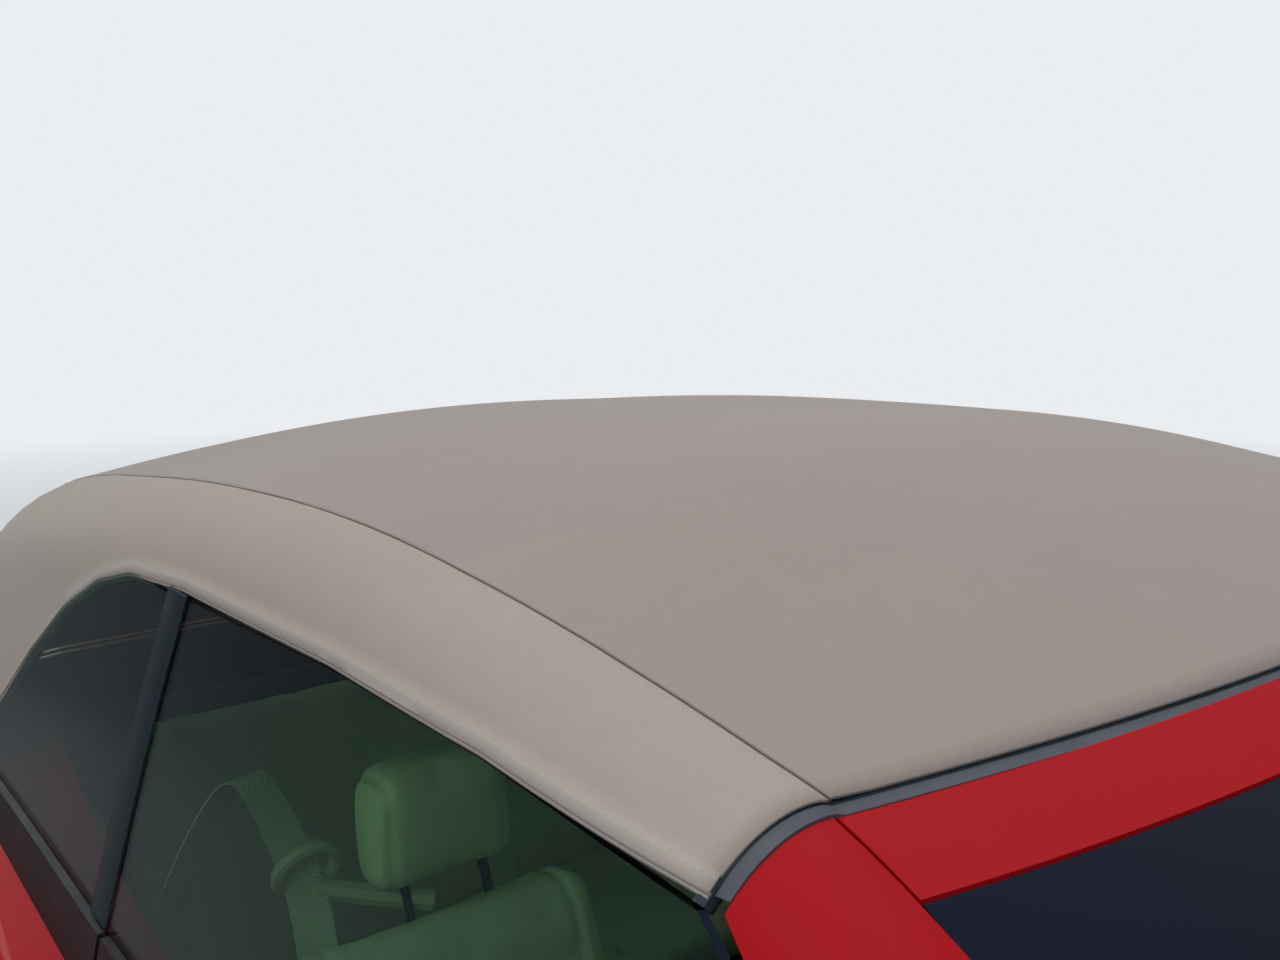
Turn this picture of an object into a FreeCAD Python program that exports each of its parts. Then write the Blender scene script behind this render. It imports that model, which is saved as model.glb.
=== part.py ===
# A two-door, four-seat convertible car with its cloth roof up.
# Units are millimetres. X points forward, Y to the car's left, Z up, and the
# origin lies on the ground under the middle of the car.
import FreeCAD, Part
import math
import os

V = FreeCAD.Vector
os.makedirs("parts", exist_ok=True)

# Overall sizes
LENGTH = 4890
HALF_WIDTH = 907
WHEELBASE = 2720
FRONT_AXLE_X = 1455
REAR_AXLE_X = FRONT_AXLE_X - WHEELBASE
FRONT_TRACK = 1550
REAR_TRACK = 1540
NOSE_X = LENGTH / 2
TAIL_X = -LENGTH / 2

# Plan curves of the body sides, nose and tail
SIDE_R = 30000
NOSE_R = 2300
TAIL_R = 3300

# Walls, gaps and clearances
SKIN = 20
DOOR_SKIN = 14
WALL = 105
PANEL_GAP = 6
SEAT_GAP = 0.3
GLASS = 5
CLOTH = 7
SHOULDER_R = 30

# Wheels
TYRE_R = 334
TYRE_W = 215
RIM_R = 222
ARCH_R = 380
KINGPIN_INSET = 30
SPINDLE_R = 22
SPINDLE_FIT = 0.05

# Body slices, from the sills up: height, half width, how far nose and tail
# stand back from the overall length, and the radii of the plan corners.
BODY_SLICES = [
    # z, half width, nose back, tail back, nose corner, tail corner
    (168, HALF_WIDTH - 105, 130, 150, 520, 420),
    (300, HALF_WIDTH - 42, 34, 48, 540, 430),
    (470, HALF_WIDTH - 12, 0, 2, 560, 430),
    (640, HALF_WIDTH, 22, 0, 580, 420),
    (790, HALF_WIDTH - 16, 105, 16, 600, 400),
    (905, HALF_WIDTH - 86, 270, 50, 620, 380),
    (1080, HALF_WIDTH - 225, 520, 130, 640, 360),
]

# Upper surface of the bonnet, belt and boot: station, height on the centre line
TOP_STATIONS = [
    (2620, 590), (2300, 765), (1850, 878), (1200, 968), (300, 992),
    (-900, 1002), (-1750, 1040), (-2330, 1022), (-2620, 985),
]
TOP_CROWN = 124
TOP_REACH = 1000

# Cloth roof and screen pillars. Each row is one cross-section: the foot of the
# side, the hem, the side seam and the height on the centre line.
ROOF_SECTIONS = [
    # x, foot y, foot z, hem y, hem z, seam y, seam z, centre z
    (500, 770, 900, 640, 1264, 545, 1292, 1315),
    (360, 768, 900, 649, 1289, 552, 1320, 1351),
    (0, 766, 900, 655, 1315, 566, 1379, 1418),
    (-400, 764, 900, 658, 1303, 571, 1385, 1431),
    (-800, 768, 900, 666, 1258, 567, 1346, 1400),
    (-1240, 778, 900, 668, 1178, 552, 1270, 1325),
]
BACK_SECTIONS = [
    (-1240, 778, 900, 668, 1178, 552, 1270, 1325),
    (-1500, 752, 900, 628, 1085, 500, 1145, 1192),
    (-1780, 560, 900, 505, 1012, 400, 1032, 1050),
]
SCREEN_SECTIONS = [
    (300, 784, 840, 649, 1296, 552, 1331, 1364),
    (420, 786, 840, 657, 1256, 556, 1291, 1338),
    (520, 788, 840, 684, 1190, 562, 1238, 1298),
    (800, 794, 840, 735, 1032, 600, 1087, 1152),
    (1130, 812, 760, 792, 856, 640, 905, 985),
]
SIDE_BULGE = 5
SHOULDER_BULGE = 14

# Side glass: station, distance from the middle at the low and high levels
GLASS_LOW_Z = 860
GLASS_HIGH_Z = 1330
GLASS_SECTIONS = [
    (-1010, 779, 648), (-400, 774, 650), (0, 776, 646), (360, 779, 636), (1110, 790, 647),
]
# Lower edge of the cloth and the screen pillar over the side glass
OPENING_EDGE = [
    (1118, 862), (800, 1032), (520, 1190), (420, 1256), (352, 1297), (149, 1311), (-62, 1314),
    (-378, 1304), (-531, 1289), (-630, 1262), (-730, 1212), (-821, 1140), (-912, 1051), (-985, 960),
]

# Bows that carry the cloth across the cabin: station, height of their feet
BOWS = [(-120, 1345), (-560, 1317.2), (-960, 1041)]

# Header: its rear edge on the centre line and at the corners, its depth, its seal
HEADER_X = 437
HEADER_CORNER_X = 360
HEADER_END_X = 368
HEADER_DEPTH = 57
HEADER_SEAL = 10
CAP_GAP = 3
SCREEN_EDGE_Y = 556
SCREEN_FOOT_EDGE_Y = 655
COWL_X = 1095
FRAME_WALL = 38

# Doors and side openings
DOOR_FRONT_X = 979
DOOR_REAR_X = -385
DOOR_BOTTOM_Z = 268
DOOR_DEPTH = 95
TRIM_DEPTH = 8
DOOR_STEP = 34
JAMB_INSET = 16
PILLAR_BACK_X = -362
PILLAR_SLOPE = 0.1
GLASS_SPLIT = 9
GLASS_FOOT_Z = 845
GLASS_STEP_Z = 942

# Nose and tail pieces
HOOD_REAR_X = 1150
HOOD_SKIN = 20
HOOD_HINGE_Z = 950
LID_HINGE_Z = 1036
HINGE_PIN_R = 5
LID_PIN_R = 3.5
COWL_SINK = 16
FENDER_FRONT_X = 1990
BUMPER_SKIN = 30
BUMPER_SPLIT_Z = 612
LAMP_DEPTH = 90
LAMP_GAP = 0.6
LID_FRONT_X = -1800
LID_SKIN = 20
LID_LOW_Z = 660
LID_HALF = 600
PLATE_RECESS = 14
FOG_LAMP_Y = -655
FOG_LAMP_Z = 352
FOG_LAMP_R = 46
DECK_FRONT_X = -1655
DECK_REAR_X = LID_FRONT_X + 8

# Rear window in the cloth, and the mouldings along the foot of the side glass
WINDOW_FRONT_X = -1305
WINDOW_REAR_X = -1650
WINDOW_HALF = 430
WINDOW_LAP = 14
MOULDING_LOW_Z = 905
MOULDING_TOP_Z = 974
MOULDING_DEPTH = 9

# Brakes
DISC_R = 142
DISC_W = 22
CALIPER_R = 166

parts = {}
_bodies = {}


def vec(plane, a, b, c):
    """A point from two in-plane values and the one along the extrusion."""
    return {"xy": V(a, b, c), "xz": V(a, c, b), "yz": V(c, a, b)}[plane]


def outline(plane, points, level):
    """A closed wire of lines with rounded corners, from rows of a, b, radius."""
    rows = [(p[0], p[1], p[2] if len(p) > 2 else 0) for p in points]
    trimmed = []
    count = len(rows)
    for i, (a, b, r) in enumerate(rows):
        pa, pb = rows[i - 1], rows[(i + 1) % count]
        u = V(pa[0] - a, pa[1] - b, 0).normalize()
        w = V(pb[0] - a, pb[1] - b, 0).normalize()
        corner = V(a, b, 0)
        if r == 0:
            trimmed.append((corner, None, corner))
            continue
        half = math.acos(max(-1, min(1, u.dot(w)))) / 2
        back = r / math.tan(half)
        middle = corner + (u + w).normalize() * (r / math.sin(half) - r)
        trimmed.append((corner + u * back, middle, corner + w * back))
    edges = []
    for i, (start, middle, end) in enumerate(trimmed):
        if middle is not None:
            pts = [vec(plane, p.x, p.y, level) for p in (start, middle, end)]
            edges.append(Part.Arc(*pts).toShape())
        nxt = trimmed[(i + 1) % count][0]
        if (nxt - end).Length > 1e-6:
            edges.append(Part.makeLine(vec(plane, end.x, end.y, level), vec(plane, nxt.x, nxt.y, level)))
    return Part.Wire(edges)


def prism(plane, points, low, high):
    """A solid with the given outline, extruded from low to high."""
    face = Part.Face(outline(plane, points, low))
    return face.extrude(vec(plane, 0, 0, high - low))


def box(x0, x1, y0, y1, z0, z1):
    return Part.makeBox(x1 - x0, y1 - y0, z1 - z0, V(x0, y0, z0))


def cylinder_y(x, z, radius, y0, y1):
    return Part.makeCylinder(radius, y1 - y0, V(x, y0, z), V(0, 1, 0))


def mirror_y(shape):
    return shape.mirror(V(0, 0, 0), V(0, 1, 0))


def arc(points):
    return Part.Arc(*points).toShape()


def largest(shape, count=1):
    """The biggest solids of a shape, which drops slivers left by a cut."""
    solids = sorted(shape.Solids, key=lambda s: -s.Volume)[:count]
    return solids[0] if count == 1 else Part.Compound(solids)


def circle_meet(c1, r1, c2, r2, way):
    """Where two circles cross, the crossing farther forward or farther back."""
    d = math.hypot(c2[0] - c1[0], c2[1] - c1[1])
    a = (r1 * r1 - r2 * r2 + d * d) / (2 * d)
    h = math.sqrt(r1 * r1 - a * a)
    ex, ey = (c2[0] - c1[0]) / d, (c2[1] - c1[1]) / d
    found = [(c1[0] + a * ex - s * h * ey, c1[1] + a * ey + s * h * ex) for s in (1, -1)]
    return max(found, key=lambda p: p[0] * way)


def toward(centre, point, radius):
    d = math.hypot(point[0] - centre[0], point[1] - centre[1])
    k = radius / d
    return (centre[0] + (point[0] - centre[0]) * k, centre[1] + (point[1] - centre[1]) * k)


def body_slice(row, inset, lift):
    """One plan outline of the body: tangent arcs for nose, corners, sides, tail."""
    z, width, nose_back, tail_back, nose_corner, tail_corner = row
    w = width - inset
    nose, tail = NOSE_X - nose_back - inset, TAIL_X + tail_back + inset
    side_c = (0, w - SIDE_R)
    nose_c, tail_c = (nose - NOSE_R, 0), (tail + TAIL_R, 0)
    front_c = circle_meet(side_c, SIDE_R - nose_corner, nose_c, NOSE_R - nose_corner, 1)
    rear_c = circle_meet(side_c, SIDE_R - tail_corner, tail_c, TAIL_R - tail_corner, -1)
    a = toward(nose_c, front_c, NOSE_R)
    b = toward(side_c, front_c, SIDE_R)
    c = toward(side_c, rear_c, SIDE_R)
    d = toward(tail_c, rear_c, TAIL_R)
    ab = toward(front_c, (front_c[0] + (a[0] + b[0]) / 2 - front_c[0], (a[1] + b[1]) / 2), nose_corner)
    cd = toward(rear_c, ((c[0] + d[0]) / 2, (c[1] + d[1]) / 2), tail_corner)
    half = [((nose, 0), None), (a, ab), (b, (0, w)), (c, cd), (d, (tail, 0))]

    def p(q, s=1):
        return V(q[0], q[1] * s, z + lift)

    edges = [
        arc((p(a, -1), p((nose, 0)), p(a))),
        arc((p(a), p(ab), p(b))),
        arc((p(b), p((0, w)), p(c))),
        arc((p(c), p(cd), p(d))),
        arc((p(d), p((tail, 0)), p(d, -1))),
        arc((p(d, -1), p(cd, -1), p(c, -1))),
        arc((p(c, -1), p((0, w), -1), p(b, -1))),
        arc((p(b, -1), p(ab, -1), p(a, -1))),
    ]
    return Part.Wire(edges)


def under_top(inset):
    """Everything below the crowned upper surface."""
    wires = []
    for x, z in TOP_STATIONS:
        pts = [V(x, s * TOP_REACH, z - TOP_CROWN - inset) for s in (-1, 1)]
        low = [V(x, s * TOP_REACH, 60) for s in (-1, 1)]
        wires.append(Part.Wire([
            arc((pts[0], V(x, 0, z - inset), pts[1])),
            Part.makeLine(pts[1], low[1]), Part.makeLine(low[1], low[0]), Part.makeLine(low[0], pts[0]),
        ]))
    return Part.makeLoft(wires, True, False)


def body(inset, rounded=False):
    """The body's outer form, moved in by an inset."""
    key = (inset, rounded)
    if key not in _bodies:
        lift = [min(inset, 30)] + [0] * (len(BODY_SLICES) - 1)
        wires = [body_slice(row, inset, up) for row, up in zip(BODY_SLICES, lift)]
        top = under_top(inset)
        form = Part.makeLoft(wires, True, False).common(top)
        if rounded:
            crown = max(top.Faces, key=lambda f: f.CenterOfMass.z)
            edges = [e for e in form.Edges if e.BoundBox.ZMin > 560 and all(
                crown.distToShape(Part.Vertex(e.valueAt(t)))[0] < 0.5
                for t in (e.FirstParameter, (e.FirstParameter + e.LastParameter) / 2, e.LastParameter))]
            form = form.makeFillet(SHOULDER_R, edges)
        _bodies[key] = form.Solids[0]
    return _bodies[key]


def form(inset):
    """The body's side form alone, open to the sky."""
    key = ("form", inset)
    if key not in _bodies:
        _bodies[key] = Part.makeLoft([body_slice(row, inset, 0) for row in BODY_SLICES], True, False)
    return _bodies[key]


def roof_wire(row, inset):
    """One cross-section of the roof: a closed wire of seven edges."""
    x, foot_y, foot_z, hem_y, hem_z, seam_y, seam_z, mid_z = row
    foot = (foot_y - inset, foot_z)
    hem = (hem_y - inset, hem_z - inset * 0.2)
    seam = (seam_y - inset * 0.4, seam_z - inset * 0.9)
    side = ((foot[0] + hem[0]) / 2 + SIDE_BULGE, (foot[1] + hem[1]) / 2)
    rise = math.hypot(hem[0] - seam[0], hem[1] - seam[1])
    out = ((seam[1] - hem[1]) / rise, (hem[0] - seam[0]) / rise)
    middle = ((hem[0] + seam[0]) / 2, (hem[1] + seam[1]) / 2)
    round_ = (middle[0] + out[0] * SHOULDER_BULGE, middle[1] + out[1] * SHOULDER_BULGE)

    def p(q, s=1):
        return V(x, q[0] * s, q[1])

    return Part.Wire([
        arc((p(foot), p(side), p(hem))), arc((p(hem), p(round_), p(seam))),
        arc((p(seam), p((0, mid_z - inset)), p(seam, -1))),
        arc((p(seam, -1), p(round_, -1), p(hem, -1))), arc((p(hem, -1), p(side, -1), p(foot, -1))),
        Part.makeLine(p(foot, -1), p(foot)),
    ])


def roof_form(sections, inset):
    key = (tuple(sections), inset)
    if key not in _bodies:
        _bodies[key] = Part.makeLoft([roof_wire(row, inset) for row in sections], True, False)
    return _bodies[key]


def glass_slab(outer, thick):
    """A curved upright slab at the right side, its outer face moved inward."""
    wires = []
    for x, low, high in GLASS_SECTIONS:
        mid = (low + high) / 2 + SIDE_BULGE
        mz = (GLASS_LOW_Z + GLASS_HIGH_Z) / 2
        slope = (low - high) / (GLASS_HIGH_Z - GLASS_LOW_Z)
        drop = 90
        ys = [low + slope * drop * 0.7, mid, high]
        zs = [GLASS_LOW_Z - drop, mz, GLASS_HIGH_Z]
        out = [V(x, -(y - outer), z) for y, z in zip(ys, zs)]
        inn = [V(x, -(y - outer - thick), z) for y, z in zip(ys, zs)]
        wires.append(Part.Wire([
            arc(out), Part.makeLine(out[2], inn[2]), arc(inn[::-1]), Part.makeLine(inn[0], out[0]),
        ]))
    return Part.makeLoft(wires, True, False)


def grown(points, by):
    """A convex outline whose sides are all moved outward by the same amount."""
    cx = sum(p[0] for p in points) / len(points)
    cz = sum(p[1] for p in points) / len(points)
    out = []
    for i, p in enumerate(points):
        a, c = points[i - 1], points[(i + 1) % len(points)]
        lines = []
        for q0, q1 in ((a, p), (p, c)):
            d = math.hypot(q1[0] - q0[0], q1[1] - q0[1])
            n = ((q1[1] - q0[1]) / d, -(q1[0] - q0[0]) / d)
            if n[0] * (q0[0] - cx) + n[1] * (q0[1] - cz) < 0:
                n = (-n[0], -n[1])
            lines.append((n, n[0] * q0[0] + n[1] * q0[1] + by))
        (n0, d0), (n1, d1) = lines
        det = n0[0] * n1[1] - n0[1] * n1[0]
        radius = p[2] if len(p) > 2 else 0
        out.append((
            (d0 * n1[1] - d1 * n0[1]) / det, (n0[0] * d1 - n1[0] * d0) / det,
            max(radius + by, 0) if radius else 0,
        ))
    return out


def behind_header(offset):
    """Everything behind the header's rear edge, moved forward by the offset."""
    x, corner, end = HEADER_X + offset, HEADER_CORNER_X + offset, HEADER_END_X + offset
    reach = 850
    pts = [V(end, reach, 700), V(-3000, reach, 700), V(-3000, -reach, 700), V(end, -reach, 700)]
    near = [V(corner, -SCREEN_EDGE_Y, 700), V(x, 0, 700), V(corner, SCREEN_EDGE_Y, 700)]
    edges = [arc(near), Part.makeLine(near[2], pts[0])]
    edges += [Part.makeLine(a, b) for a, b in zip(pts, pts[1:])]
    edges.append(Part.makeLine(pts[3], near[0]))
    return Part.Face(Part.Wire(edges)).extrude(V(0, 0, 900))


RIGHT = box(-3000, 3000, -1200, -1, 0, 1600)
DOOR_OUTLINE = [
    (DOOR_FRONT_X, DOOR_BOTTOM_Z, 40), (DOOR_FRONT_X, 1100, 0),
    (DOOR_REAR_X, 1100, 0), (DOOR_REAR_X, DOOR_BOTTOM_Z, 90),
]


def side_prism(points, inner=300):
    """A side-view outline carried through the right side of the car."""
    return prism("xz", points, -1200, -inner)


def arch(x, radius, inner):
    return cylinder_y(x, TYRE_R, radius, -1200, -inner)


arch_cuts = [arch(FRONT_AXLE_X, ARCH_R, 0), arch(REAR_AXLE_X, ARCH_R, 0)]

shell = body(0, True).cut(body(SKIN))
thick = body(0, True).cut(form(WALL))

# Plan outlines of the bonnet and the boot lid, right half
hood_plan = [
    (HOOD_REAR_X, 5), (HOOD_REAR_X, -700, 30), (2110, -640, 120), (2300, -300, 400), (2318, 5),
]
lid_plan = [(LID_FRONT_X, 5), (LID_FRONT_X, -LID_HALF, 60), (-2700, -LID_HALF), (-2700, 5)]
lid_rear = [(5, LID_LOW_Z), (-500, LID_LOW_Z, 40), (-LID_HALF, 880), (-LID_HALF, 1200), (5, 1200)]


def lower_nose(gap):
    """Side-view region of the front bumper."""
    return side_prism([
        (FRONT_AXLE_X + 200, 100), (FRONT_AXLE_X + 200, BUMPER_SPLIT_Z - gap),
        (FENDER_FRONT_X + gap, BUMPER_SPLIT_Z - gap), (FENDER_FRONT_X + gap, 1200),
        (2700, 1200), (2700, 100),
    ], -5)


def lower_tail(gap):
    """Side-view region of the rear bumper."""
    return side_prism([
        (REAR_AXLE_X - 200, 100), (REAR_AXLE_X - 200, BUMPER_SPLIT_Z - gap),
        (TAIL_X - 200, BUMPER_SPLIT_Z + 40 - gap), (TAIL_X - 200, 100),
    ], -5)


head_lamp = [(-455, 640, 25), (-470, 700, 25), (-620, 790, 60), (-960, 800), (-960, 655), (-700, 628, 40)]
tail_lamp = [(-500, 905), (-500, 708), (-960, 715), (-960, 885, 60), (-700, 905, 40)]
plate_edge = [(-170, 712, 10), (-170, 832, 10), (170, 832, 10), (170, 712, 10)]
grille_edge = [(-330, 545, 25), (-362, 642, 25), (0, 652), (362, 642, 25), (330, 545, 25)]
intake_edge = [(-520, 262, 25), (-560, 400, 30), (560, 400, 30), (520, 262, 25)]


def front_prism(points, x0=FENDER_FRONT_X - 60, x1=2700):
    return prism("yz", points, x0, x1)


def both(shape):
    """A right half joined to its mirror image."""
    return shape.fuse(mirror_y(shape)).removeSplitter()


hood_region = prism("xy", hood_plan, 500, 1300)
lid_region = prism("xy", lid_plan, 880, 1300).fuse(prism("yz", lid_rear, -2700, -2150))

nose = body(0, True).cut(body(BUMPER_SKIN)).common(lower_nose(PANEL_GAP / 2))
nose = nose.cut(prism("xy", grown(hood_plan, PANEL_GAP), 400, 1300)).cut(arch_cuts[0])
for edge in (head_lamp, grille_edge, intake_edge):
    nose = nose.cut(front_prism(grown(edge, LAMP_GAP) if edge is head_lamp else edge))
nose = nose.cut(Part.makeCylinder(FOG_LAMP_R + LAMP_GAP, 700, V(2000, FOG_LAMP_Y, FOG_LAMP_Z), V(1, 0, 0)))
parts["front_bumper"] = largest(both(nose))


def grille(edge, rim, front_x, thick, slots, columns):
    """A slotted plate, bent to the nose, that fills one of its openings."""
    plate = Part.makeCylinder(NOSE_R, 500, V(front_x - NOSE_R, 0, 200))
    plate = plate.cut(Part.makeCylinder(NOSE_R - thick, 500, V(front_x - NOSE_R, 0, 200)))
    plate = plate.common(front_prism(grown(edge, -SEAT_GAP)))
    (z0, z1, pitch), (y0, y1, width) = slots, columns
    cells = [box(2200, 2700, y + 3, y + width - 3, z, z + pitch - 8)
             for z in range(z0, z1, pitch) for y in range(y0, y1, width)]
    return largest(plate.cut(front_prism(grown(edge, -rim)).common(Part.Compound(cells))))


parts["grille"] = Part.Compound([
    grille(grille_edge, 12, 2413, 16, (557, 645, 16), (-350, 350, 70)),
    grille(intake_edge, 10, 2381, 24, (272, 395, 22), (-540, 540, 90)),
])

lamp = body(0, True).cut(body(LAMP_DEPTH)).common(front_prism(head_lamp)).common(RIGHT)
lamp = lamp.cut(prism("xy", grown(hood_plan, PANEL_GAP), 400, 1300))
lamp = lamp.common(box(FENDER_FRONT_X + PANEL_GAP / 2, 2700, -1200, 0, 0, 1200))
fog_lamp = form(PLATE_RECESS).cut(form(70)).common(
    Part.makeCylinder(FOG_LAMP_R, 700, V(2000, FOG_LAMP_Y, FOG_LAMP_Z), V(1, 0, 0)))
parts["head_lamp_r"] = Part.Compound([largest(lamp), largest(fog_lamp)])

fender = shell.common(box(DOOR_FRONT_X + PANEL_GAP, FENDER_FRONT_X - PANEL_GAP / 2, -1200, -450, 200, 1200))
fender = fender.cut(lower_nose(-PANEL_GAP / 2)).cut(arch_cuts[0])
fender = fender.cut(prism("xy", grown(hood_plan, PANEL_GAP), 400, 1300))
fender = fender.cut(box(0, HOOD_REAR_X, -700, 0, 600, 1300))
fender = fender.cut(roof_form(SCREEN_SECTIONS, -SEAT_GAP))
parts["front_fender_r"] = largest(fender)

hood = body(0, True).cut(body(HOOD_SKIN)).common(hood_region)
for y in (-241, 159):
    hood = hood.cut(cylinder_y(HOOD_REAR_X, HOOD_HINGE_Z, HINGE_PIN_R + SEAT_GAP, y, y + 82))
parts["hood"] = largest(both(hood))

lid = body(0, True).cut(body(LID_SKIN)).common(lid_region)
lid = both(lid).cut(prism("yz", plate_edge, -2700, -2200).cut(form(PLATE_RECESS)))
lid_pins = []
for y in (-90, 50):
    lid = lid.cut(cylinder_y(LID_FRONT_X, LID_HINGE_Z, LID_PIN_R + SEAT_GAP, y - 1, y + 41))
    lid_pins.append(cylinder_y(LID_FRONT_X, LID_HINGE_Z, LID_PIN_R, y, y + 40))
    lid_pins.append(box(LID_FRONT_X + 0.5, DECK_REAR_X + 5, y, y + 40, LID_HINGE_Z - 9, LID_HINGE_Z - 1))
parts["boot_lid"] = largest(lid)

tail = body(0, True).cut(body(BUMPER_SKIN)).common(lower_tail(PANEL_GAP / 2)).cut(arch_cuts[1])
parts["rear_bumper"] = largest(both(tail))

lamp = body(0, True).cut(form(70)).common(prism("yz", tail_lamp, -2700, -2200)).common(RIGHT)
parts["tail_lamp_r"] = largest(lamp.cut(prism("yz", grown(lid_rear, PANEL_GAP), -2700, -2150)))

side = thick.common(box(-1655, 1045, -1200, 0, 180, 1200))
rear = shell.common(box(-2600, -1654, -1200, -SEAT_GAP / 2, 200, 1200))
rear = rear.cut(prism("xy", grown(lid_plan, PANEL_GAP), 880, 1300))
rear = rear.cut(prism("yz", grown(lid_rear, PANEL_GAP), -2700, -2150))
rear = rear.cut(prism("yz", grown(tail_lamp, LAMP_GAP), -2700, -2200 + LAMP_GAP))
rear = rear.cut(box(LID_FRONT_X - 1, -1300, -LID_HALF - PANEL_GAP, 10, 850, 1300))
door_out = side_prism(grown(DOOR_OUTLINE, PANEL_GAP)).cut(form(SKIN))
side = side.cut(door_out).cut(side_prism(grown(DOOR_OUTLINE, -JAMB_INSET)))
side = side.cut(box(DOOR_FRONT_X + PANEL_GAP / 2, 1200, -1200, 0, 0, 1300).cut(form(SKIN + 12)))
side = side.cut(box(900, 1200, -1200, 0, 850, 1300))
side = side.fuse(rear).cut(lower_tail(-PANEL_GAP / 2)).cut(arch_cuts[1])
side = side.cut(arch(REAR_AXLE_X, ARCH_R + 6 + SEAT_GAP, 0).common(form(SKIN)))
side = side.cut(glass_slab(-SEAT_GAP, GLASS + 2 * SEAT_GAP).common(box(-992, -384, -1200, 0, 875, 1400)))
parts["body_side_r"] = largest(side.removeSplitter())

deck = body(0, True).cut(body(SKIN)).common(
    box(DECK_REAR_X, DECK_FRONT_X, -LID_HALF - 5.4, LID_HALF + 5.4, 850, 1300))
parts["rear_deck"] = largest(deck.fuse(lid_pins).removeSplitter())

outer = body(0, True).common(side_prism(DOOR_OUTLINE)).cut(form(DOOR_SKIN))
inner = body(0, True).common(side_prism(grown(DOOR_OUTLINE, -DOOR_STEP))).cut(form(DOOR_DEPTH))
door = outer.fuse(inner).removeSplitter()
slot = glass_slab(-SEAT_GAP, GLASS + 2 * SEAT_GAP).common(
    box(-1000, DOOR_FRONT_X + 20, -1200, 0, GLASS_FOOT_Z - SEAT_GAP, 1400))
door = door.cut(slot)
parts["door_r"] = largest(door)
trim = body(0, True).common(side_prism(grown(DOOR_OUTLINE, -DOOR_STEP)))
trim = trim.common(form(DOOR_DEPTH + SEAT_GAP)).cut(form(DOOR_DEPTH + SEAT_GAP + TRIM_DEPTH))
arm = box(-200, 420, -760, -700, 560, 620).common(form(DOOR_DEPTH + 5))
parts["door_trim_r"] = largest(trim.fuse(arm).removeSplitter().cut(slot))

# Side glass
edge = [(x, z - PANEL_GAP) for x, z in OPENING_EDGE]


def split_x(z):
    return PILLAR_BACK_X - (1300 - z) * PILLAR_SLOPE


door_glass = [(-340, GLASS_FOOT_Z), (940, GLASS_FOOT_Z), (940, 950)]
door_glass += [(x, z) for x, z in edge[1:7]]
door_glass += [(split_x(1297), 1297), (split_x(GLASS_STEP_Z), GLASS_STEP_Z), (-340, GLASS_STEP_Z)]
quarter_glass = [(split_x(1294) - GLASS_SPLIT, 1294), (split_x(880) - GLASS_SPLIT, 880), (-975, 880)]
quarter_glass += [(x, z + 8) for x, z in edge[:7:-1]]
parts["door_glass_r"] = glass_slab(0, GLASS).common(side_prism(door_glass))
quarter = glass_slab(0, GLASS).common(side_prism(quarter_glass))

# Cloth roof
opening = [(1200, 700)] + OPENING_EDGE + [(-985, 700)]
cloth = roof_form(ROOF_SECTIONS, 0).cut(roof_form(ROOF_SECTIONS, CLOTH))
back = roof_form(BACK_SECTIONS, 0).cut(roof_form(BACK_SECTIONS, CLOTH))
cloth = cloth.fuse(back)
cloth = cloth.common(behind_header(-HEADER_SEAL))
window = [
    (WINDOW_REAR_X, 5), (WINDOW_REAR_X, -WINDOW_HALF + 60, 70),
    (WINDOW_FRONT_X, -WINDOW_HALF, 70), (WINDOW_FRONT_X, 5),
]
window_cut = prism("xy", window, 900, 1500)
for cut in (window_cut, mirror_y(window_cut), side_prism(opening), mirror_y(side_prism(opening))):
    cloth = cloth.cut(cut)
cloth = cloth.cut(under_top(-2))
parts["soft_top"] = largest(cloth.removeSplitter())
parts["quarter_glass_r"] = largest(quarter.cut(parts["soft_top"]))

# Windscreen frame
ring = roof_form(SCREEN_SECTIONS, 0).cut(roof_form(SCREEN_SECTIONS, FRAME_WALL))
above = [(200, 1400), (200, 1297)] + OPENING_EDGE[4::-1] + [(1250, 780), (1250, 1400)]
ring = ring.common(prism("xz", above, -1000, 1000))
header = ring.common(behind_header(HEADER_DEPTH)).cut(behind_header(0))
pane_plan = [
    (200, 5), (200, -SCREEN_EDGE_Y), (430, -SCREEN_EDGE_Y), (1300, -SCREEN_FOOT_EDGE_Y - 20), (1300, 5),
]
pane_zone = prism("xy", pane_plan, 800, 1500)
header = header.common(box(0, 900, -SCREEN_EDGE_Y, SCREEN_EDGE_Y, 900, 1500))
parts["header"] = largest(header)
pane = roof_form(SCREEN_SECTIONS, 3).cut(roof_form(SCREEN_SECTIONS, 3 + GLASS))
pane = both(pane.common(pane_zone)).cut(behind_header(HEADER_DEPTH + SEAT_GAP))
parts["windscreen"] = largest(pane.common(box(300, COWL_X, -900, 900, 800, 1500)))
post = ring.common(RIGHT).cut(prism("xy", grown(pane_plan, SEAT_GAP), 800, 1500))
post = post.cut(box(200, 500, -SCREEN_EDGE_Y - CAP_GAP, 0, 900, 1500))
post = post.cut(behind_header(0))
parts["pillar_r"] = largest(post)

seal = roof_form(ROOF_SECTIONS, 4).cut(roof_form(ROOF_SECTIONS, CLOTH + 15))
seal = seal.common(behind_header(-SEAT_GAP)).cut(behind_header(SEAT_GAP - HEADER_SEAL))
parts["header_seal"] = largest(seal.cut(box(0, 900, -900, 900, 700, 1296)))

pane = roof_form(BACK_SECTIONS, CLOTH + SEAT_GAP).cut(roof_form(BACK_SECTIONS, CLOTH + 4))
pane_zone = prism("xy", grown(window, WINDOW_LAP), 900, 1500)
rear_pane = pane.common(pane_zone).fuse(pane.common(mirror_y(pane_zone)))
parts["rear_window"] = largest(rear_pane.removeSplitter())

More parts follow.
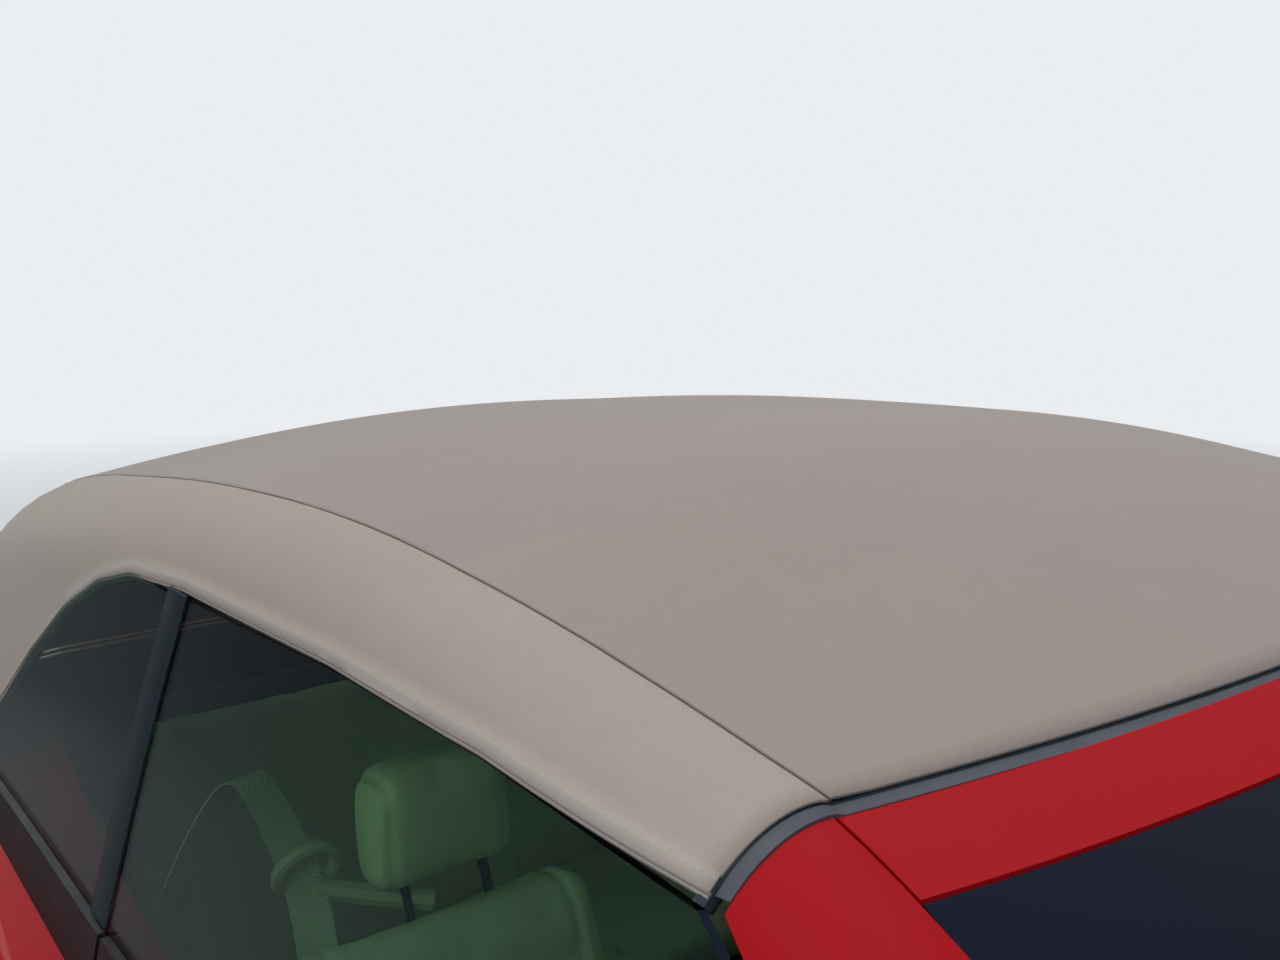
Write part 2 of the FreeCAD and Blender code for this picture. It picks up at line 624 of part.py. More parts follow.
belt = glass_slab(-MOULDING_DEPTH, MOULDING_DEPTH - SEAT_GAP)
for name, x0, x1 in (("door", -382, 925), ("quarter", -985, -391)):
    strip = belt.common(side_prism([
        (x0, MOULDING_LOW_Z), (x1, MOULDING_LOW_Z), (x1, MOULDING_TOP_Z), (x0, MOULDING_TOP_Z)]))
    parts[name + "_moulding_r"] = largest(strip.cut(body(0, True)).cut(parts["soft_top"]))

# Underbody
TUNNEL = box(-850, 1045, -135, 135, 150, 315)
floor = box(-870, 1045, -1000, 1000, 190, 212).common(form(WALL + SEAT_GAP))
dash_wall = box(1005, 1030, -1000, 1000, 200, 855).common(form(WALL + SEAT_GAP))
plates = [
    box(-850, 1045, -150, 150, 200, 330), dash_wall, box(-870, -850, -700, 700, 200, 305),
    box(-1200, -850, -620, 620, 290, 305), box(-1200, -1185, -620, 620, 290, 425),
    box(-1330, -1185, -620, 620, 410, 425), box(-1330, -1315, -620, 620, 410, 860),
    box(-2340, -1315, -620, 620, 410, 425).common(form(BUMPER_SKIN + SEAT_GAP)),
]
floor = floor.fuse(plates).cut(TUNNEL).cut(box(-900, -840, -122, -58, 222, 272))
ledge = box(1005, 1140, -690, 690, 835, 855)
parts["floor_pan"] = largest(floor.fuse(ledge).removeSplitter())

# Cowl under the foot of the windscreen: a riser, a ledge for the glass, a front lip
screen_under = roof_form(SCREEN_SECTIONS, 3 + GLASS + SEAT_GAP)
riser = box(1086, 1100, -645, 645, 855 + SEAT_GAP, 1050).common(screen_under)
glass_ledge = box(1052, 1092, -640, 640, 855, 1050).common(screen_under)
glass_ledge = glass_ledge.cut(screen_under.translated(V(0, 0, -14)))
apron = box(1092, 1131, -645, 645, 800, 1050).fuse(box(1130.3, 1138, -699.7, 699.7, 800, 1050))
apron = apron.common(under_top(COWL_SINK))
apron = apron.cut(apron.translated(V(0, 0, -16)))
cowl = riser.fuse([glass_ledge, apron]).removeSplitter()
pins = []
for y in (-240, 160):
    pins.append(cylinder_y(HOOD_REAR_X, HOOD_HINGE_Z, HINGE_PIN_R, y, y + 80))
    pins.append(box(1130, HOOD_REAR_X - 1, y, y + 80, HOOD_HINGE_Z - 12, HOOD_HINGE_Z - 1))
parts["cowl_panel"] = largest(cowl.fuse(pins).removeSplitter())

panel = box(2110, 2150, -600, 600, 235, 1000).cut(box(2100, 2200, -420, 420, 380, 640))
parts["radiator_panel"] = largest(panel.common(body(BUMPER_SKIN + SEAT_GAP)).cut(
    front_prism(grown(head_lamp, SEAT_GAP))).cut(mirror_y(front_prism(grown(head_lamp, SEAT_GAP)))))

liners = []
for x, track, depth in ((FRONT_AXLE_X, FRONT_TRACK, 290), (REAR_AXLE_X, REAR_TRACK, 140)):
    y0, y1 = -track / 2 + depth, -885
    ring = cylinder_y(x, TYRE_R, ARCH_R + 6, y1, y0).cut(cylinder_y(x, TYRE_R, ARCH_R + 2, y1 - 1, y0 - 4))
    ring = ring.common(box(x - 500, x + 500, -1000, 0, 250, 1000))
    low = 560 if x == FRONT_AXLE_X else 440
    ring = ring.cut(box(x - 150, x + 150, y0 - 4, y0 + 1, 0, low))
    liners.append(ring.common(body(BUMPER_SKIN + SEAT_GAP)))
liners += [mirror_y(s) for s in liners]
parts["wheel_liners"] = Part.Compound([largest(s) for s in liners])

sub = box(FRONT_AXLE_X - 60, FRONT_AXLE_X + 60, -480, 480, 200, 250)
for y in (-400, 340):
    sub = sub.fuse(box(1030 + SEAT_GAP, 2110 - SEAT_GAP, y, y + 60, 240, 300))
arm = [(FRONT_AXLE_X - 130, -360), (FRONT_AXLE_X + 130, -360), (FRONT_AXLE_X + 130, -470),
       (FRONT_AXLE_X + 26, -600), (FRONT_AXLE_X + 26, -756), (FRONT_AXLE_X + 13, -765),
       (FRONT_AXLE_X - 13, -765), (FRONT_AXLE_X - 26, -756), (FRONT_AXLE_X - 26, -600),
       (FRONT_AXLE_X - 130, -470)]
KINGPIN_Y = -FRONT_TRACK / 2 + KINGPIN_INSET
low_arm = prism("xy", arm, 196, 220)
high_arm = prism("xy", arm, 452, 470)
strut = Part.makeCylinder(45, 500, V(FRONT_AXLE_X, -425, 210))
corner = low_arm.fuse([high_arm, strut])
parts["front_subframe"] = sub.fuse([corner, mirror_y(corner)]).removeSplitter()


def caliper(x, y):
    """A brake caliper that straddles the disc behind the axle, and its bracket."""
    block = cylinder_y(x, TYRE_R, CALIPER_R, y - 29, y + 18).cut(cylinder_y(x, TYRE_R, 84, y - 30, y + 19))
    block = block.cut(cylinder_y(x, TYRE_R, DISC_R + 4, y - DISC_W - 1, y + 3))
    block = block.common(box(x - 170, x - 60, y - 40, y + 40, TYRE_R - 62, TYRE_R + 62))
    bracket = box(x - 120, x - 20, y + 8, y + 18, TYRE_R - 40, TYRE_R + 40)
    return block.fuse([bracket, box(x - 60, x, y + 8, y + 45, TYRE_R - 30, TYRE_R + 30)])


rear_caliper = caliper(REAR_AXLE_X, -REAR_TRACK / 2).fuse(
    box(REAR_AXLE_X - 60, REAR_AXLE_X, -REAR_TRACK / 2 + 8, -600, TYRE_R - 30, TYRE_R + 30))
beam = box(REAR_AXLE_X - 45, REAR_AXLE_X + 45, -560, 560, 225, 285)
spindle = cylinder_y(REAR_AXLE_X, TYRE_R, SPINDLE_R, -REAR_TRACK / 2 - 62, -560)
block = box(REAR_AXLE_X - 45, REAR_AXLE_X + 45, -620, -545, 225, 380)
shelf = box(REAR_AXLE_X - 180, REAR_AXLE_X, -550, -450, 225, 250)
spring = Part.makeCylinder(46, 410 - SEAT_GAP - 240, V(REAR_AXLE_X - 130, -500, 240))
trail = prism("xz", [(REAR_AXLE_X, 240), (REAR_AXLE_X, 285), (-900, 275), (-900, 235)], -590, -550)
hang = box(-930, -890, -590, -550, 240, 290 - SEAT_GAP)
half = spindle.fuse([block, shelf, spring, trail, hang, rear_caliper])
parts["rear_subframe"] = beam.fuse([half, mirror_y(half)]).removeSplitter()

# Steered knuckles
kx, kz = FRONT_AXLE_X, TYRE_R
pin = Part.makeCylinder(19, 452 - 220 - 2 * SEAT_GAP, V(kx, KINGPIN_Y, 220 + SEAT_GAP))
spin = cylinder_y(kx, kz, SPINDLE_R, -FRONT_TRACK / 2 - 62, KINGPIN_Y)
hub_block = box(kx - 32, kx + 32, KINGPIN_Y + 2, KINGPIN_Y + 34, kz - 60, kz + 60)
parts["knuckle_r"] = pin.fuse([spin, hub_block, caliper(kx, -FRONT_TRACK / 2)]).removeSplitter()


def ring_profile(points, x, y):
    """A turned ring about the axle line from rows of radius and offset."""
    wire = outline("yz", [(y + o, TYRE_R + r) for r, o in points], x)
    return Part.Face(wire).revolve(V(x, 0, TYRE_R), V(0, 1, 0), 360)


TYRE_POINTS = [
    (211, 76), (211, 89), (226, 92), (252, 103), (285, 107.5), (314, 102), (328, 88), (334, 60),
    (334, -60), (328, -88), (314, -102), (285, -107.5), (252, -103), (226, -92), (211, -89), (211, -76),
]
RIM_POINTS = [
    (222, 98), (224, 96), (224, 92.3), (210.7, 89.3), (210.7, 75), (193, 60), (193, -60), (210.7, -75),
    (210.7, -89.3), (224, -92.3), (224, -96), (222, -98), (213, -98), (203, -84), (184, -62), (184, 62),
    (203, 84), (213, 98),
]
SPOKES = 5


def wheel(x, y, name):
    parts["tyre_" + name] = ring_profile(TYRE_POINTS, x, y)
    rim = ring_profile(RIM_POINTS, x, y)
    hub = cylinder_y(x, TYRE_R, 72, y - 66, y - 22)
    spokes = []
    for i in range(SPOKES):
        for lean in (-1, 1):
            bar = prism("xz", [(x - 17, TYRE_R + 40), (x - 12, TYRE_R + 189),
                               (x + 12, TYRE_R + 189), (x + 17, TYRE_R + 40)], y - 62, y - 34)
            bar = bar.translated(V(lean * 26, 0, 0))
            bar.rotate(V(x, y, TYRE_R), V(0, 1, 0), 360 / SPOKES * i + lean * 4)
            spokes.append(bar)
    rim = rim.fuse([hub] + spokes)
    rim = rim.cut(cylinder_y(x, TYRE_R, SPINDLE_R + SPINDLE_FIT, y - 63, y))
    disc = cylinder_y(x, TYRE_R, DISC_R, y - 20, y).fuse(cylinder_y(x, TYRE_R, 71, y - 22 + SEAT_GAP, y))
    disc = disc.cut(cylinder_y(x, TYRE_R, SPINDLE_R + SPINDLE_FIT, y - 63, y + 1))
    parts["wheel_" + name] = Part.Compound([rim.removeSplitter(), disc.removeSplitter()])


wheel(FRONT_AXLE_X, -FRONT_TRACK / 2, "front_r")
wheel(REAR_AXLE_X, -REAR_TRACK / 2, "rear_r")

# Engine, tank, exhaust
engine = box(1210, 1830, -300, 300, 301, 720).cut(box(1200, 1520, -301, 301, 300, 420))
feet = box(1560, 1620, -390, 390, 300 + SEAT_GAP, 345)
parts["engine_block"] = engine.fuse(feet).removeSplitter()
tanks = box(-1150, -880, -430, 430, 225, 290 - SEAT_GAP)
parts["fuel_tank"] = tanks.cut(box(-1300, -800, -160, -20, 200, 300))
pipe = Part.makeCylinder(27, 2900, V(-1900, -90, 190 + 60), V(1, 0, 0))
pipe = pipe.common(box(-840, 1200, -400, 400, 0, 500)).fuse(box(-1900, -840, -112, -68, 232, 262))
can = box(-2250, -1700, -250, 250, 250, 390)
pipe_end = Part.makeCylinder(24, 240, V(-2440, -190, 300), V(1, 0, 0))
pipe = pipe.cut(box(REAR_AXLE_X - 60, REAR_AXLE_X + 60, -200, 200, 200, 400))
pipe = pipe.fuse(box(200, 240, -104, -76, 265, 315 - SEAT_GAP))
hanger = box(-2020, -1980, 100, 140, 380, 410 - SEAT_GAP)
parts["exhaust"] = pipe.fuse([can, pipe_end, hanger]).removeSplitter()
parts["rear_bumper"] = largest(parts["rear_bumper"].cut(
    Part.makeCylinder(34, 400, V(-2600, -190, 300), V(1, 0, 0))))

# Cabin
dash_edge = [(1004.7, 600), (1004.7, 830), (930, 925), (740, 900), (690, 840), (720, 700), (800, 560)]
dash = prism("xz", dash_edge, -690, 690).common(form(WALL + 4))
console = prism("xz", [(798, 212), (798, 600), (700, 600), (560, 470), (-100, 450), (-300, 520),
                       (-330, 330)], -105, 105)
parts["console"] = console.cut(box(-400, 900, -152, 152, 200, 330)).cut(box(720, 900, -200, 200, 560, 700))


def seat(y, w, x_back, z_floor):
    """A front seat: cushion, leaning back and head restraint."""
    cushion = prism("xz", [(x_back - 20, z_floor + 120), (x_back + 500, z_floor + 175, 40),
                           (x_back + 500, z_floor + 280, 45), (x_back, z_floor + 240)], y - w / 2, y + w / 2)
    back = prism("xz", [(x_back - 60, z_floor + 150), (x_back + 60, z_floor + 210), (x_back - 95, 880, 40),
                        (x_back - 205, 900, 40), (x_back - 120, z_floor + 200)], y - w / 2, y + w / 2)
    head = prism("xz", [(x_back - 130, 905, 20), (x_back - 220, 905, 30), (x_back - 240, 1040, 40),
                        (x_back - 150, 1050, 40)], y - 130, y + 130)
    posts = [Part.makeCylinder(7, 60, V(x_back - 175, y + o, 865)) for o in (-60, 60)]
    base = box(x_back + 20, x_back + 440, y - w / 2 + 40, y + w / 2 - 40, z_floor, z_floor + 190)
    return cushion.fuse([back, head, base] + posts).removeSplitter()


parts["front_seat_r"] = seat(-395, 490, -240, 212)
trim = box(-1180, -395, -1000, -622, 306, 872).common(form(WALL + SEAT_GAP))
trim = trim.cut(form(WALL + 16).common(box(-862, -300, -1000, 0, 0, 1000)))
parts["rear_trim_r"] = largest(trim.cut(arch(REAR_AXLE_X, ARCH_R + 7, 0)))
rear_seat = prism("xz", [(-1180, 305 + SEAT_GAP), (-852, 305 + SEAT_GAP), (-852, 331), (-700, 331),
                         (-690, 430, 40), (-1180, 400)], -560, 560)
rear_back = prism("xz", [(-1183, 306), (-1060, 306), (-1100, 480), (-1180, 880, 40), (-1300, 880, 30),
                         (-1314, 426), (-1183, 426)], -560, 560)
parts["rear_seat"] = rear_seat.fuse(rear_back).removeSplitter()

# Steering wheel on its column
SW = V(560, 370, 835)
axis = V(-1, 0, 0.42)
axis.normalize()
rim = Part.makeTorus(180, 14, SW, axis)
hub = Part.makeCylinder(48, 40, SW - axis * 30, axis)
bar = Part.makeCylinder(12, 360, SW + V(0, -180, 0), V(0, 1, 0))
parts["steering_wheel"] = rim.fuse([hub, bar]).removeSplitter()
column = Part.makeCylinder(36, 200, SW - axis * 30.3, axis * -1)
parts["dashboard"] = dash.fuse(column).removeSplitter()

# Roof frame and rear window
slab = roof_form(ROOF_SECTIONS, CLOTH + SEAT_GAP).cut(roof_form(ROOF_SECTIONS, CLOTH + 15))
bows = [box(x - 14, x + 14, -800, 800, low, 1500) for x, low in BOWS]
strip_edge = [(x, z + 2) for x, z in OPENING_EDGE[4:]] + [(x, z + 32) for x, z in OPENING_EDGE[:3:-1]]
strip = side_prism(strip_edge, 450)
rail = slab.common(strip).common(behind_header(-HEADER_SEAL))
bow_solids = slab.common(Part.Compound(bows)).Solids
parts["top_frame"] = Part.Compound(bow_solids + [largest(rail), mirror_y(largest(rail))])

handle_plan = [
    (-330, -870), (-330, -905, 14), (-300, -922, 30), (-140, -924, 30), (-115, -905, 14),
    (-115, -870), (-140, -870), (-140, -898, 12), (-305, -896, 12), (-305, -870),
]
handle = prism("xy", handle_plan, 796, 818)
parts["door_handle_r"] = handle.cut(parts["door_r"]).cut(form(DOOR_SKIN - 4))



mirror_x, mirror_z = 775, 990
MIRROR_SECTIONS = [
    # y, depth, half height, corner radius
    (-834, 46, 34, 16), (-872, 84, 55, 24), (-955, 82, 56, 24), (-1006, 40, 36, 16),
]
wires = []
for y, depth, half, r in MIRROR_SECTIONS:
    x1 = mirror_x + depth
    wires.append(outline("xz", [(mirror_x, mirror_z - half, 8), (x1, mirror_z - half, r),
                                (x1, mirror_z + half, r), (mirror_x, mirror_z + half, 8)], y))
mirror_head = Part.makeLoft(wires, True, False)
mirror_head = mirror_head.cut(prism("yz", [
    (-994, mirror_z - 42, 26), (-848, mirror_z - 42, 26), (-848, mirror_z + 42, 26),
    (-994, mirror_z + 42, 26)], mirror_x - 20, mirror_x + 6))
mirror_arm = prism("xz", [(795, 885), (850, 885), (842, 970), (800, 970)], -866, -785)
parts["door_mirror_r"] = largest(mirror_head.fuse(mirror_arm).cut(parts["door_r"]))

PAIRED = {
    "head_lamp_r": "head_lamps", "tail_lamp_r": "tail_lamps", "quarter_glass_r": "quarter_glass",
    "pillar_r": "screen_pillars", "front_fender_r": "front_fenders", "body_side_r": "body_sides",
    "quarter_moulding_r": "quarter_mouldings", "rear_trim_r": "rear_trims", "front_seat_r": "front_seats",
}
for name in [n for n in parts if n.endswith("_r")]:
    if name in PAIRED:
        right = parts.pop(name).Solids
        parts[PAIRED[name]] = Part.Compound(right + [mirror_y(solid) for solid in right])
    else:
        parts[name[:-2] + "_l"] = mirror_y(parts[name])

for name, shape in parts.items():
    print(name, shape.isValid(), len(shape.Solids), round(shape.Volume / 1e6, 2))
    shape.exportStep("parts/" + name + ".step")
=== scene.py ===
import math

import bmesh
import bpy
from mathutils import Matrix, Vector
from mathutils.bvhtree import BVHTree
from mathutils.interpolate import poly_3d_calc


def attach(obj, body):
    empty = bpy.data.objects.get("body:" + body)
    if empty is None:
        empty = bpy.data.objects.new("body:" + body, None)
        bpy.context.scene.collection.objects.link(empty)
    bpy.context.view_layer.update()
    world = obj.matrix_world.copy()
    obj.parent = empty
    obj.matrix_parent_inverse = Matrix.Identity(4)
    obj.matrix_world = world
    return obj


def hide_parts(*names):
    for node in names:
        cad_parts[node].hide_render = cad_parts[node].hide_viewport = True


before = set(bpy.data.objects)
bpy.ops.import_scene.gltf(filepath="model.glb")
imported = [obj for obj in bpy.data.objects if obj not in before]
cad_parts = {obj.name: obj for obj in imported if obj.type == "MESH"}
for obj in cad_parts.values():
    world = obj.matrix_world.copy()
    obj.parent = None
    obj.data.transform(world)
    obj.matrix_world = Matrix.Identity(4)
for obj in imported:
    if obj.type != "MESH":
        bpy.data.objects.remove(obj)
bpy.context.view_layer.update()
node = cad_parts


# The viewpoint: a standing person's eye beside the front passenger's window,
# looking back across the roof. A plain pale floor that fades into the backdrop
# and four large soft lights stand in for the surroundings.
FILM_WIDTH = 36.0
FOCAL_LENGTH = 33.85
EYE_AT = (0.764, -1.022, 1.610)
DOWNWARD = math.radians(10.18)
TURNED = math.radians(50.86)
FAR = 400.0
eye = bpy.data.cameras.new("eye")
eye.sensor_width = FILM_WIDTH
eye.lens = FOCAL_LENGTH
eye.clip_end = FAR
camera = bpy.data.objects.new("camera", eye)
camera.location = EYE_AT
camera.rotation_euler = (math.pi / 2 - DOWNWARD, 0.0, TURNED)
bpy.context.scene.collection.objects.link(camera)
bpy.context.scene.camera = camera
bpy.context.scene.view_settings.view_transform = "Standard"


class Signal:
    """One shader socket that can be added, multiplied and compared in Python."""

    def __init__(self, shading, socket):
        self.shading = shading
        self.socket = socket

    def maths(self, operation, *values):
        return self.shading.node("ShaderNodeMath", {"operation": operation}, values)

    def __add__(self, other):
        return self.maths("ADD", self, other)

    def __sub__(self, other):
        return self.maths("SUBTRACT", self, other)

    def __rsub__(self, other):
        return self.maths("SUBTRACT", other, self)

    def __mul__(self, other):
        return self.maths("MULTIPLY", self, other)

    def __gt__(self, other):
        return self.maths("GREATER_THAN", self, other)

    def __lt__(self, other):
        return self.maths("LESS_THAN", self, other)

    def __abs__(self):
        return self.maths("ABSOLUTE", self)

    def sine(self):
        return self.maths("SINE", self)

    def clamped(self):
        return self.shading.node("ShaderNodeClamp", {}, [self])

    __radd__ = __add__
    __rmul__ = __mul__


class Shading:
    """The nodes of one finish, or of the air round the object."""

    def __init__(self, tree):
        self.tree = tree

    def node(self, kind, settings, values=(), output=0):
        made = self.tree.nodes.new(kind)
        for key, value in settings.items():
            if key == "stops":
                ramp = made.color_ramp
                while len(ramp.elements) < len(value):
                    ramp.elements.new(0.5)
                for element, (at, colour) in zip(ramp.elements, value):
                    element.position = at
                    element.color = colour
            else:
                setattr(made, key, value)
        for key, value in values.items() if isinstance(values, dict) else enumerate(values):
            if isinstance(value, Signal):
                self.tree.links.new(value.socket, made.inputs[key])
            else:
                made.inputs[key].default_value = value
        return Signal(self, made.outputs[output])


class Finish(Shading):
    """A surface finish: one principled shader and the nodes that feed it."""

    def __init__(self, name, **fixed):
        self.material = bpy.data.materials.new(name)
        self.material.use_nodes = True
        super().__init__(self.material.node_tree)
        self.shader = self.tree.nodes["Principled BSDF"]
        for words, value in fixed.items():
            self.feed(words, value)

    def feed(self, words, value):
        """Set or link one socket of the shader, such as base_color."""
        name = words.replace("_", " ").title().replace("Ior", "IOR")
        socket = self.shader.inputs[name]
        if isinstance(value, Signal):
            self.tree.links.new(value.socket, socket)
        else:
            socket.default_value = value

    def place(self, scale=(1.0, 1.0, 1.0), uv=False):
        """The piece's own coordinates, in metres, or those of its cloth, scaled."""
        spot = self.node("ShaderNodeTexCoord", {}, (), "UV" if uv else "Object")
        return self.node("ShaderNodeMapping", {}, {"Vector": spot, "Scale": scale})

    def noise(self, spot, scale, detail=3.0, roughness=0.55):
        return self.node("ShaderNodeTexNoise", {}, {
            "Vector": spot, "Scale": scale, "Detail": detail, "Roughness": roughness})

    def cells(self, spot, scale, feature="F1"):
        return self.node("ShaderNodeTexVoronoi", {"feature": feature}, {"Vector": spot, "Scale": scale})

    def axis(self, spot, which):
        return self.node("ShaderNodeSeparateXYZ", {}, [spot], which)

    def blend(self, mask, low, high):
        return self.node("ShaderNodeMix", {"data_type": "RGBA"}, {0: mask, 6: low, 7: high}, 2)

    def relief(self, height, distance, strength=1.0):
        self.feed("normal", self.node(
            "ShaderNodeBump", {}, {"Height": height, "Distance": distance, "Strength": strength}))

    def dress(self, *names):
        """Give this finish to the named CAD nodes."""
        for name in names:
            data = node[name].data
            if not data.materials:
                data.materials.append(self.material)
            for holder in node[name].material_slots:
                holder.material = self.material
        return self


def in_view(shading):
    """One where the eye looks straight at something, or at it through glass alone."""
    path = {output: shading.node("ShaderNodeLightPath", {}, (), output) for output in (
        "Is Camera Ray", "Is Transmission Ray", "Diffuse Depth", "Glossy Depth")}
    straight = path["Diffuse Depth"] + path["Glossy Depth"] < 0.5
    return (path["Is Camera Ray"] + path["Is Transmission Ray"] * straight).clamped()


BACKDROP = (0.83, 0.85, 0.87, 1.0)
LOW_SKY = (0.030, 0.037, 0.052, 1.0)
HIGH_SKY = (0.62, 0.66, 0.72, 1.0)
world = bpy.data.worlds.new("studio air")
bpy.context.scene.world = world
world.use_nodes = True
air = Shading(world.node_tree)
upward = air.node("ShaderNodeSeparateXYZ", {}, [air.node("ShaderNodeTexCoord", {}, (), "Generated")], "Z")
dome = air.node("ShaderNodeValToRGB", {"stops": [(0.26, LOW_SKY), (0.85, HIGH_SKY)]}, [upward])
sky = air.node("ShaderNodeBackground", {}, {"Color": dome, "Strength": 1.0})
backdrop = air.node("ShaderNodeBackground", {}, {"Color": BACKDROP, "Strength": 1.0})
shown = air.node("ShaderNodeMixShader", {}, [in_view(air), sky, backdrop])
air.tree.links.new(shown.socket, air.tree.nodes["World Output"].inputs["Surface"])

for label, place, aim, size, power in (
    ("overhead", (0.4, 0.3, 5.2), (0, 0, 0), (6.0, 4.0), 84),
    ("passenger_side", (1.8, -6.0, 3.4), (0, 0, 0.7), (6.0, 3.0), 112),
    ("driver_side", (-1.0, 6.0, 3.2), (0, 0, 0.7), (6.0, 3.0), 72),
    ("tail", (-6.5, -1.0, 2.8), (0, 0, 0.7), (3.5, 2.5), 45),
):
    panel = bpy.data.lights.new(label, "AREA")
    panel.shape = "RECTANGLE"
    panel.size, panel.size_y = size
    panel.energy = power
    lamp = bpy.data.objects.new(label + "_light", panel)
    lamp.location = place
    lamp.rotation_euler = (Vector(place) - Vector(aim)).to_track_quat("Z", "Y").to_euler()
    lamp.visible_glossy = label in ("passenger_side", "tail")
    bpy.context.scene.collection.objects.link(lamp)


def sides(*names):
    """The right and the left node of each name."""
    return [name + end for name in names for end in ("_r", "_l")]


def piece(name, mesh, body, finish, outward=True, crisp=35.0):
    """Close a mesh, give it its finish and hang it on the body that carries it."""
    bmesh.ops.remove_doubles(mesh, verts=mesh.verts, dist=1e-5)
    if outward:
        bmesh.ops.recalc_face_normals(mesh, faces=mesh.faces)
    for face in mesh.faces:
        face.smooth = True
    data = bpy.data.meshes.new(name)
    mesh.to_mesh(data)
    mesh.free()
    data.set_sharp_from_angle(angle=math.radians(crisp))
    data.materials.append(finish.material)
    made = bpy.data.objects.new(name, data)
    bpy.context.scene.collection.objects.link(made)
    if body:
        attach(made, body)
    return made


FLOOR_SIZE = 160.0
FADE_FROM = 3.0
FADE_RATE = 0.12
floor_finish = Finish("pale floor", roughness=0.8)
spot = floor_finish.place()
reach = floor_finish.node("ShaderNodeVectorMath", {"operation": "LENGTH"}, [spot], "Value")
seen = in_view(floor_finish)
floor_finish.feed("base_color", floor_finish.blend(seen, (0.16, 0.16, 0.17, 1), (0.78, 0.78, 0.77, 1)))
glow = floor_finish.node("ShaderNodeEmission", {}, {"Color": BACKDROP, "Strength": 1.0})
lit = Signal(floor_finish, floor_finish.shader.outputs[0])
faded = ((reach - FADE_FROM) * FADE_RATE).clamped() * seen
fade = floor_finish.node("ShaderNodeMixShader", {}, [faded, lit, glow])
floor_finish.tree.links.new(fade.socket, floor_finish.tree.nodes["Material Output"].inputs["Surface"])
sweep = bmesh.new()
bmesh.ops.create_grid(sweep, x_segments=2, y_segments=2, size=FLOOR_SIZE)
ground = piece("ground", sweep, None, floor_finish, outward=False)


# The floor pressing, wheel liners, radiator frame and fuel tanks: welded steel
# and moulded plastic under a black stone-chip coating, with cast subframes and
# knuckles bolted below and a welded steel exhaust.
coating = Finish("stone-chip coating", roughness=0.75)
spot = coating.place()
coating.relief(coating.noise(spot, 420.0, 4.0), 0.0006, 0.6)
coating.feed("base_color", coating.blend(
    coating.noise(spot, 6.0, 5.0), (0.014, 0.014, 0.015, 1), (0.055, 0.048, 0.042, 1)))
coating.dress("floor_pan", "radiator_panel", "wheel_liners", "fuel_tank")
casting = Finish("cast metal", roughness=0.5, metallic=0.8)
spot = casting.place()
casting.relief(casting.noise(spot, 350.0, 4.0), 0.0005, 0.5)
casting.feed("base_color", casting.blend(
    casting.noise(spot, 9.0, 5.0), (0.16, 0.16, 0.165, 1), (0.06, 0.05, 0.045, 1)))
casting.dress("front_subframe", "rear_subframe", "engine_block", *sides("knuckle"))
pipework = Finish("exhaust steel", roughness=0.35, metallic=1.0)
spot = pipework.place()
pipework.feed("base_color", pipework.blend(
    pipework.noise(spot, 7.0, 5.0), (0.45, 0.43, 0.40, 1), (0.20, 0.15, 0.11, 1)))
pipework.feed("roughness", pipework.noise(spot, 30.0, 4.0) * 0.35 + 0.22)
pipework.dress("exhaust")

# The engine's top cover: black moulded plastic with straight ribs, clipped to the cast block below.
trim = Finish("black moulding", roughness=0.5)
spot = trim.place()
trim.relief(trim.cells(spot, 1200.0), 0.0002, 0.5)
trim.feed("base_color", trim.blend(
    trim.noise(spot, 8.0, 4.0), (0.010, 0.010, 0.011, 1), (0.022, 0.021, 0.022, 1)))
trim.feed("roughness", trim.noise(spot, 12.0, 3.0) * 0.25 + 0.38)


def block(low, high, corner=0.006, segments=2, taper=1.0):
    """A box with rounded edges between two corners, its top drawn in by taper."""
    made = bmesh.new()
    bmesh.ops.create_cube(made, size=1.0)
    for vert in made.verts:
        if vert.co.z > 0:
            vert.co.x *= taper
            vert.co.y *= taper
    size = Vector(high) - Vector(low)
    bmesh.ops.scale(made, verts=made.verts, vec=size)
    bmesh.ops.translate(made, verts=made.verts, vec=(Vector(high) + Vector(low)) / 2)
    if corner:
        bmesh.ops.bevel(made, geom=made.edges, affect="EDGES", offset=corner, segments=segments,
                        profile=0.5, material=-1)
    return made


def joined(meshes):
    """Several meshes as one."""
    whole = bmesh.new()
    carrier = bpy.data.meshes.new("carrier")
    for mesh in meshes:
        mesh.to_mesh(carrier)
        whole.from_mesh(carrier)
        mesh.free()
    bpy.data.meshes.remove(carrier)
    return whole


RIBS = (-0.15, -0.09, -0.03, 0.03, 0.09, 0.15)
HALF_RIB = 0.006
cover = block((1.24, -0.24, 0.718), (1.76, 0.24, 0.752), 0.012, 3, 0.94)
ribs = [block((1.30, y - HALF_RIB, 0.75), (1.70, y + HALF_RIB, 0.756), 0.002) for y in RIBS]
piece("engine_cover", joined([cover] + ribs), "chassis", trim)


